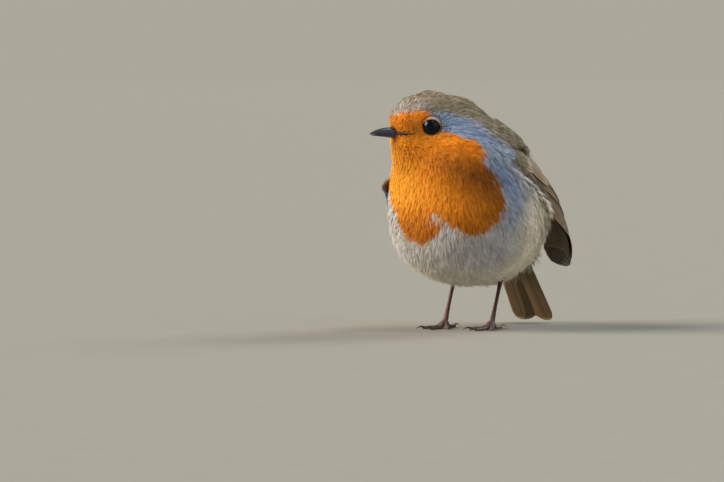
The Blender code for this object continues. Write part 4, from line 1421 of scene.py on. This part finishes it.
bristle_finish, tree, shader = material("rictal_bristles", 0.5)
feed(tree, shader, {"Base Color": "#17110D"})
bristle_rng = random.Random(9)
bm = bmesh.new()
for side in SIDES:
    for k in range(BRISTLES):
        root = Vector((side * (3.1 + 0.25 * bristle_rng.random()), -9.0 - 0.35 * k, -5.0 + 0.42 * k)) * MM
        aside, droop = bristle_rng.uniform(0.35, 0.6), bristle_rng.uniform(-0.35, 0.0)
        out = Vector((side * aside, -1.0, droop)).normalized()
        reach = bristle_rng.uniform(2.6, 4.2) * MM
        curl = Vector((side * 0.5, 0, -0.7)) * MM
        path = [HEAD @ (root + out * reach * t + curl * t * t) for t in (0, 0.3, 0.6, 1)]
        spine(bm, path, BRISTLE_RADII, 4)
finished(object_from(bm, "bristles"), ["head"], bristle_finish)

# %% [markdown]
# ## Legs, feet and claws
# The leg below the feathers is a thin bone in scaled skin: broad plates down the front, smooth behind. The
# plates are keratin, half matt, darker in their joints and worn pale on their edges. Claws are the same
# horn as the bill's, polished by use, so they catch small highlights.

# %% Finishes of legs and claws
leg_finish, tree, shader = material("scaled_leg_skin", 0.5, 0.4)
plate = add(tree, "ShaderNodeAttribute", attribute_name="plate").outputs["Fac"]
place = add(tree, "ShaderNodeTexCoord").outputs["Object"]
cloud = add(tree, "ShaderNodeTexNoise", {"Vector": place, "Scale": 700.0, "Detail": 4.0}).outputs["Fac"]
scales = add(tree, "ShaderNodeTexVoronoi", {"Vector": place, "Scale": 1500.0}).outputs["Distance"]
raised = add(tree, "ShaderNodeSeparateXYZ", (place,)).outputs["Z"]
ranges = {"foot": (raised, 7 * MM, 2 * MM), "joint": (plate, 0.82, 1.0),
          "worn": (scales, 0.35, 0.0, 0.0, 0.35), "rough": (cloud, 0.2, 0.8, 0.42, 0.62)}
part = {key: add(tree, "ShaderNodeMapRange", values).outputs[0] for key, values in ranges.items()}
colour = paint(tree, (cloud, "#32150D", "#5E3222"), (part["foot"], (cloud, "#4A3733", "#7E6A64")),
               (part["joint"], "#2E1F1A"), (part["worn"], "#8C7264"))
bump = add(tree, "ShaderNodeBump", {"Height": scales, "Strength": 0.5, "Distance": 0.06 * MM}).outputs[0]
feed(tree, shader, {"Base Color": colour, "Roughness": part["rough"], "Normal": bump})

claw_finish, tree, shader = material("claw_horn", 0.38, 0.5)
place = add(tree, "ShaderNodeTexCoord").outputs["Object"]
cloud = add(tree, "ShaderNodeTexNoise", {"Vector": place, "Scale": 1800.0, "Detail": 3.0}).outputs["Fac"]
feed(tree, shader, {"Base Color": paint(tree, (cloud, "#241A15", "#4A392F"))})
print("leg and claw finishes:", leg_finish.name, claw_finish.name)

# %% [markdown]
# A leg and each toe are tubes along an eased path, with steps on the upper side for the plates. Three toes
# point forwards and one back, each a chain of pads, and each ends in a hooked claw. The pads are flat where
# they stand on the floor.

# %% Legs, feet and claws
FOOT_X = {1: 7.8 * MM, -1: -11.8 * MM}
FOOT_Y = -5.6 * MM
JOINT_HEIGHT = 2.3 * MM
JOINT_RADIUS = 1.3 * MM
TOES = {"hallux": (180.0, 8.6, 5.2), "inner_toe": (33.0, 9.6, 3.6), "middle_toe": (2.0, 13.6, 4.2),
        "outer_toe": (-27.0, 10.4, 3.6)}  # degrees from straight ahead, length and claw in mm
# share of the toe's length and height in mm, and the radii there in mm
TOE_PATH = [(0.03, 2.3), (0.14, 1.84), (0.3, 0.74), (0.48, 0.39), (0.62, 0.57), (0.8, 0.39), (1.0, 0.39)]
TOE_RADII = [1.1, 1.02, 0.88, 0.86, 0.68, 0.84, 0.62]
SHANK_AT = (0, 0.1, 0.3, 0.6, 0.85, 1.0)  # shares of the way up
SHANK_RADII = [1.1, 0.92, 0.70, 0.70, 0.9, 1.15]  # in mm, at those places


def scaled_tube(bm, path, radii, plates, front, round_steps):
    """A tube with stepped plates on the side that front points to, cut flat where it meets the floor."""
    plate_layer = bm.verts.layers.float.get("plate") or bm.verts.layers.float.new("plate")
    rings, marks = [], []
    for i, (point, radius) in enumerate(zip(path, radii)):
        ahead = (path[min(i + 1, len(path) - 1)] - path[max(i - 1, 0)]).normalized()
        turn = ahead.to_track_quat("Z", "Y").to_matrix()
        step = (i / (len(path) - 1) * plates) % 1.0
        ring = []
        for k in range(round_steps):
            a = math.tau * k / round_steps
            out = turn @ Vector((math.cos(a), math.sin(a), 0))
            spot = point + out * radius * (1 + 0.09 * (step - 0.5) * max(0.0, out.dot(front)))
            spot.z = max(0.0, spot.z)
            ring.append(spot)
        rings.append(ring)
        marks.append(step)
    for ring, step in zip(loft(bm, rings), marks):
        for vert in ring:
            vert[plate_layer] = step


def along_path(corners, radii, count):
    """count points and radii (given in mm) evenly placed on a polyline, eased so that it has no corners."""
    knots = np.array([list(p) for p in corners])
    steps = np.linspace(0, 1, count)
    marks = np.concatenate([[0], np.cumsum(np.linalg.norm(np.diff(knots, axis=0), axis=1))])
    marks /= marks[-1]
    line = np.stack([np.interp(steps, marks, knots[:, c]) for c in range(3)], axis=1)
    wide = np.interp(steps, marks, [r * MM for r in radii])
    for _ in range(4):
        line[1:-1] = (line[:-2] + 2 * line[1:-1] + line[2:]) / 4
        wide[1:-1] = (wide[:-2] + 2 * wide[1:-1] + wide[2:]) / 4
    return [Vector(p) for p in line], list(wide)


def claw_path(root, ahead, reach, steps=14):
    """Points and radii of a claw reach mm long that arches from root down to the floor."""
    path, radii = [], []
    for i in range(steps + 1):
        t = i / steps
        arch = math.sin(math.pi * t) * 0.15 * reach * MM
        fall = (root.z - 0.12 * MM) * t**1.6
        path.append(root + ahead * (reach * 0.93 + 0.7) * MM * t + Vector((0, 0, arch - fall)))
        radii.append(0.5 * MM * (1 - 0.9 * t**0.9))
    return path, radii


for side, word in SIDES.items():
    top = Vector((FOOT_X[side] + 1.2 * MM, FOOT_Y + 7.6 * MM, 22.5 * MM))
    joint = Vector((FOOT_X[side], FOOT_Y, JOINT_HEIGHT))
    low = joint + (top - joint).normalized() * 0.6 * MM
    bm = bmesh.new()
    path, radii = along_path([low.lerp(top, t) for t in SHANK_AT], SHANK_RADII, 72)
    scaled_tube(bm, path, radii, 9, Vector((0, -1, 0.2)), 16)
    finished(object_from(bm, f"leg_{word}"), [f"shank_{word}"], leg_finish)

    foot, claws = bmesh.new(), {}
    foot.verts.layers.float.new("plate")
    at_joint = Matrix.Translation(joint)
    bmesh.ops.create_uvsphere(foot, u_segments=20, v_segments=12, radius=JOINT_RADIUS, matrix=at_joint)
    for toe, (angle, reach, claw) in TOES.items():
        heading = math.radians(angle)
        ahead = Vector((-side * math.sin(heading), -math.cos(heading), 0.0))
        start = Vector((FOOT_X[side], FOOT_Y, 0))
        line = [start + ahead * reach * MM * share + Vector((0, 0, z * MM)) for share, z in TOE_PATH]
        path, radii = along_path(line, TOE_RADII, 52)
        scaled_tube(foot, path, radii, 3 + reach / 1.3, Vector((0, 0, 1)), 14)
        claws[toe] = claw_path(line[-1] - ahead * 0.5 * MM + Vector((0, 0, 0.2 * MM)), ahead, claw)
    finished(object_from(foot, f"toes_{word}"), [f"foot_{word}"], leg_finish)
    for toe, (path, radii) in claws.items():
        bm = bmesh.new()
        spine(bm, path, radii, 12)
        finished(object_from(bm, f"{toe}_nail_{word}"), [f"{toe}_claw_{word}"], claw_finish)

# %% [markdown]
# ## Studio
# The bird stands on a wide floor of grey background paper, matt and fibrous, in a room with pale walls and
# a dimmer ceiling, which is a world colour that changes with height. A broad, soft, warm light from the
# viewer's left models the breast, a cooler, weaker one fills from the right, one behind the bird picks out
# the rims of its feathers, and a small one above the viewer puts a glint in the eye. All four are distant,
# so the floor is evenly lit and the bird looks well from every side.

# %% Floor and lights
VIEW_AZIMUTH = 25.0
VIEW_ELEVATION = 1.8
FLOOR_RADIUS = 14.0  # wide enough to meet the sky far behind the bird

azimuth = math.radians(VIEW_AZIMUTH)
elevation = math.radians(VIEW_ELEVATION)
view_right = Vector((math.cos(azimuth), math.sin(azimuth), 0))
view_near = Vector((math.sin(azimuth), -math.cos(azimuth), 0))
scene = bpy.context.scene

bm = bmesh.new()
bmesh.ops.create_circle(bm, cap_ends=True, segments=64, radius=FLOOR_RADIUS)
floor = object_from(bm, "floor")
paper, tree, shader = material("studio_paper", 0.9, 0.2)
place = add(tree, "ShaderNodeTexCoord").outputs["Object"]
fibres = add(tree, "ShaderNodeTexNoise", {"Vector": place, "Scale": 60.0, "Detail": 4.0}).outputs["Fac"]
feed(tree, shader, {"Base Color": paint(tree, (fibres, "#888982", "#8E8F88"))})
floor.data.materials.append(paper)


def lamp(name, across, towards, up, strength, softness, colour):
    """A distant light, placed by how far it is to the viewer's right, towards the viewer and up.

    softness is its width in degrees.
    """
    light = bpy.data.lights.new(name, "SUN")
    light.energy = strength
    light.angle = math.radians(softness)
    light.color = linear(colour)[:3]
    made = new_object(name, light)
    made.location = view_right * across + view_near * towards + Vector((0, 0, up))
    made.rotation_euler = made.location.to_track_quat("Z", "Y").to_euler()
    print(name, "light of", strength, "over", softness, "degrees")


lamp("key", -1.3, 0.3, 0.8, 4.9, 40.0, "#FFF0DC")
lamp("fill", 1.0, 0.7, 0.6, 0.6, 50.0, "#D2E0FA")
lamp("rim", 0.9, -0.9, 0.8, 1.8, 30.0, "#FFF8F0")
lamp("catch_light", 0.3, 0.3, 1.0, 0.45, 9.0, "#E8F0FF")
scene.world = scene.world or bpy.data.worlds.new("studio")
scene.world.use_nodes = True
tree = scene.world.node_tree
direction = add(tree, "ShaderNodeTexCoord").outputs["Generated"]
upward = add(tree, "ShaderNodeSeparateXYZ", (direction,)).outputs["Z"]
ceiling = add(tree, "ShaderNodeMapRange", (upward, 0.1, 0.5)).outputs[0]
feed(tree, tree.nodes["Background"], {"Color": paint(tree, "#ABA89B", (ceiling, "#7F8183"))})

# %% [markdown]
# The camera stands two metres off with a long lens, on the bird's left side of straight ahead and a little
# above its head, so the bird is seen nearly level and without distortion.

# %% Camera
VIEW_DISTANCE = 2.0
FRAME_WIDTH = 0.2751  # width of the view at the bird
AIM_LEFT = 0.0426  # how far the middle of the view lies from the feet, so the bird stands right of it
AIM_HEIGHT = 0.0334
STAND_OFF_HEIGHT = 45 * MM  # height over the feet from which the camera stands off

feet = Vector((0.4 * MM, -5.6 * MM, 0))
camera = new_object("camera", bpy.data.cameras.new("camera"))
view_back = view_near * math.cos(elevation) + Vector((0, 0, math.sin(elevation)))
camera.location = feet + Vector((0, 0, STAND_OFF_HEIGHT)) + view_back * VIEW_DISTANCE
aim = feet - view_right * AIM_LEFT + Vector((0, 0, AIM_HEIGHT))
camera.rotation_euler = (camera.location - aim).to_track_quat("Z", "Y").to_euler()
camera.data.lens = camera.data.sensor_width * VIEW_DISTANCE / FRAME_WIDTH
camera.data.clip_start = 0.1
camera.data.clip_end = 40
scene.camera = camera
scene.view_settings.view_transform = "Standard"
print("lens", round(camera.data.lens), "mm")
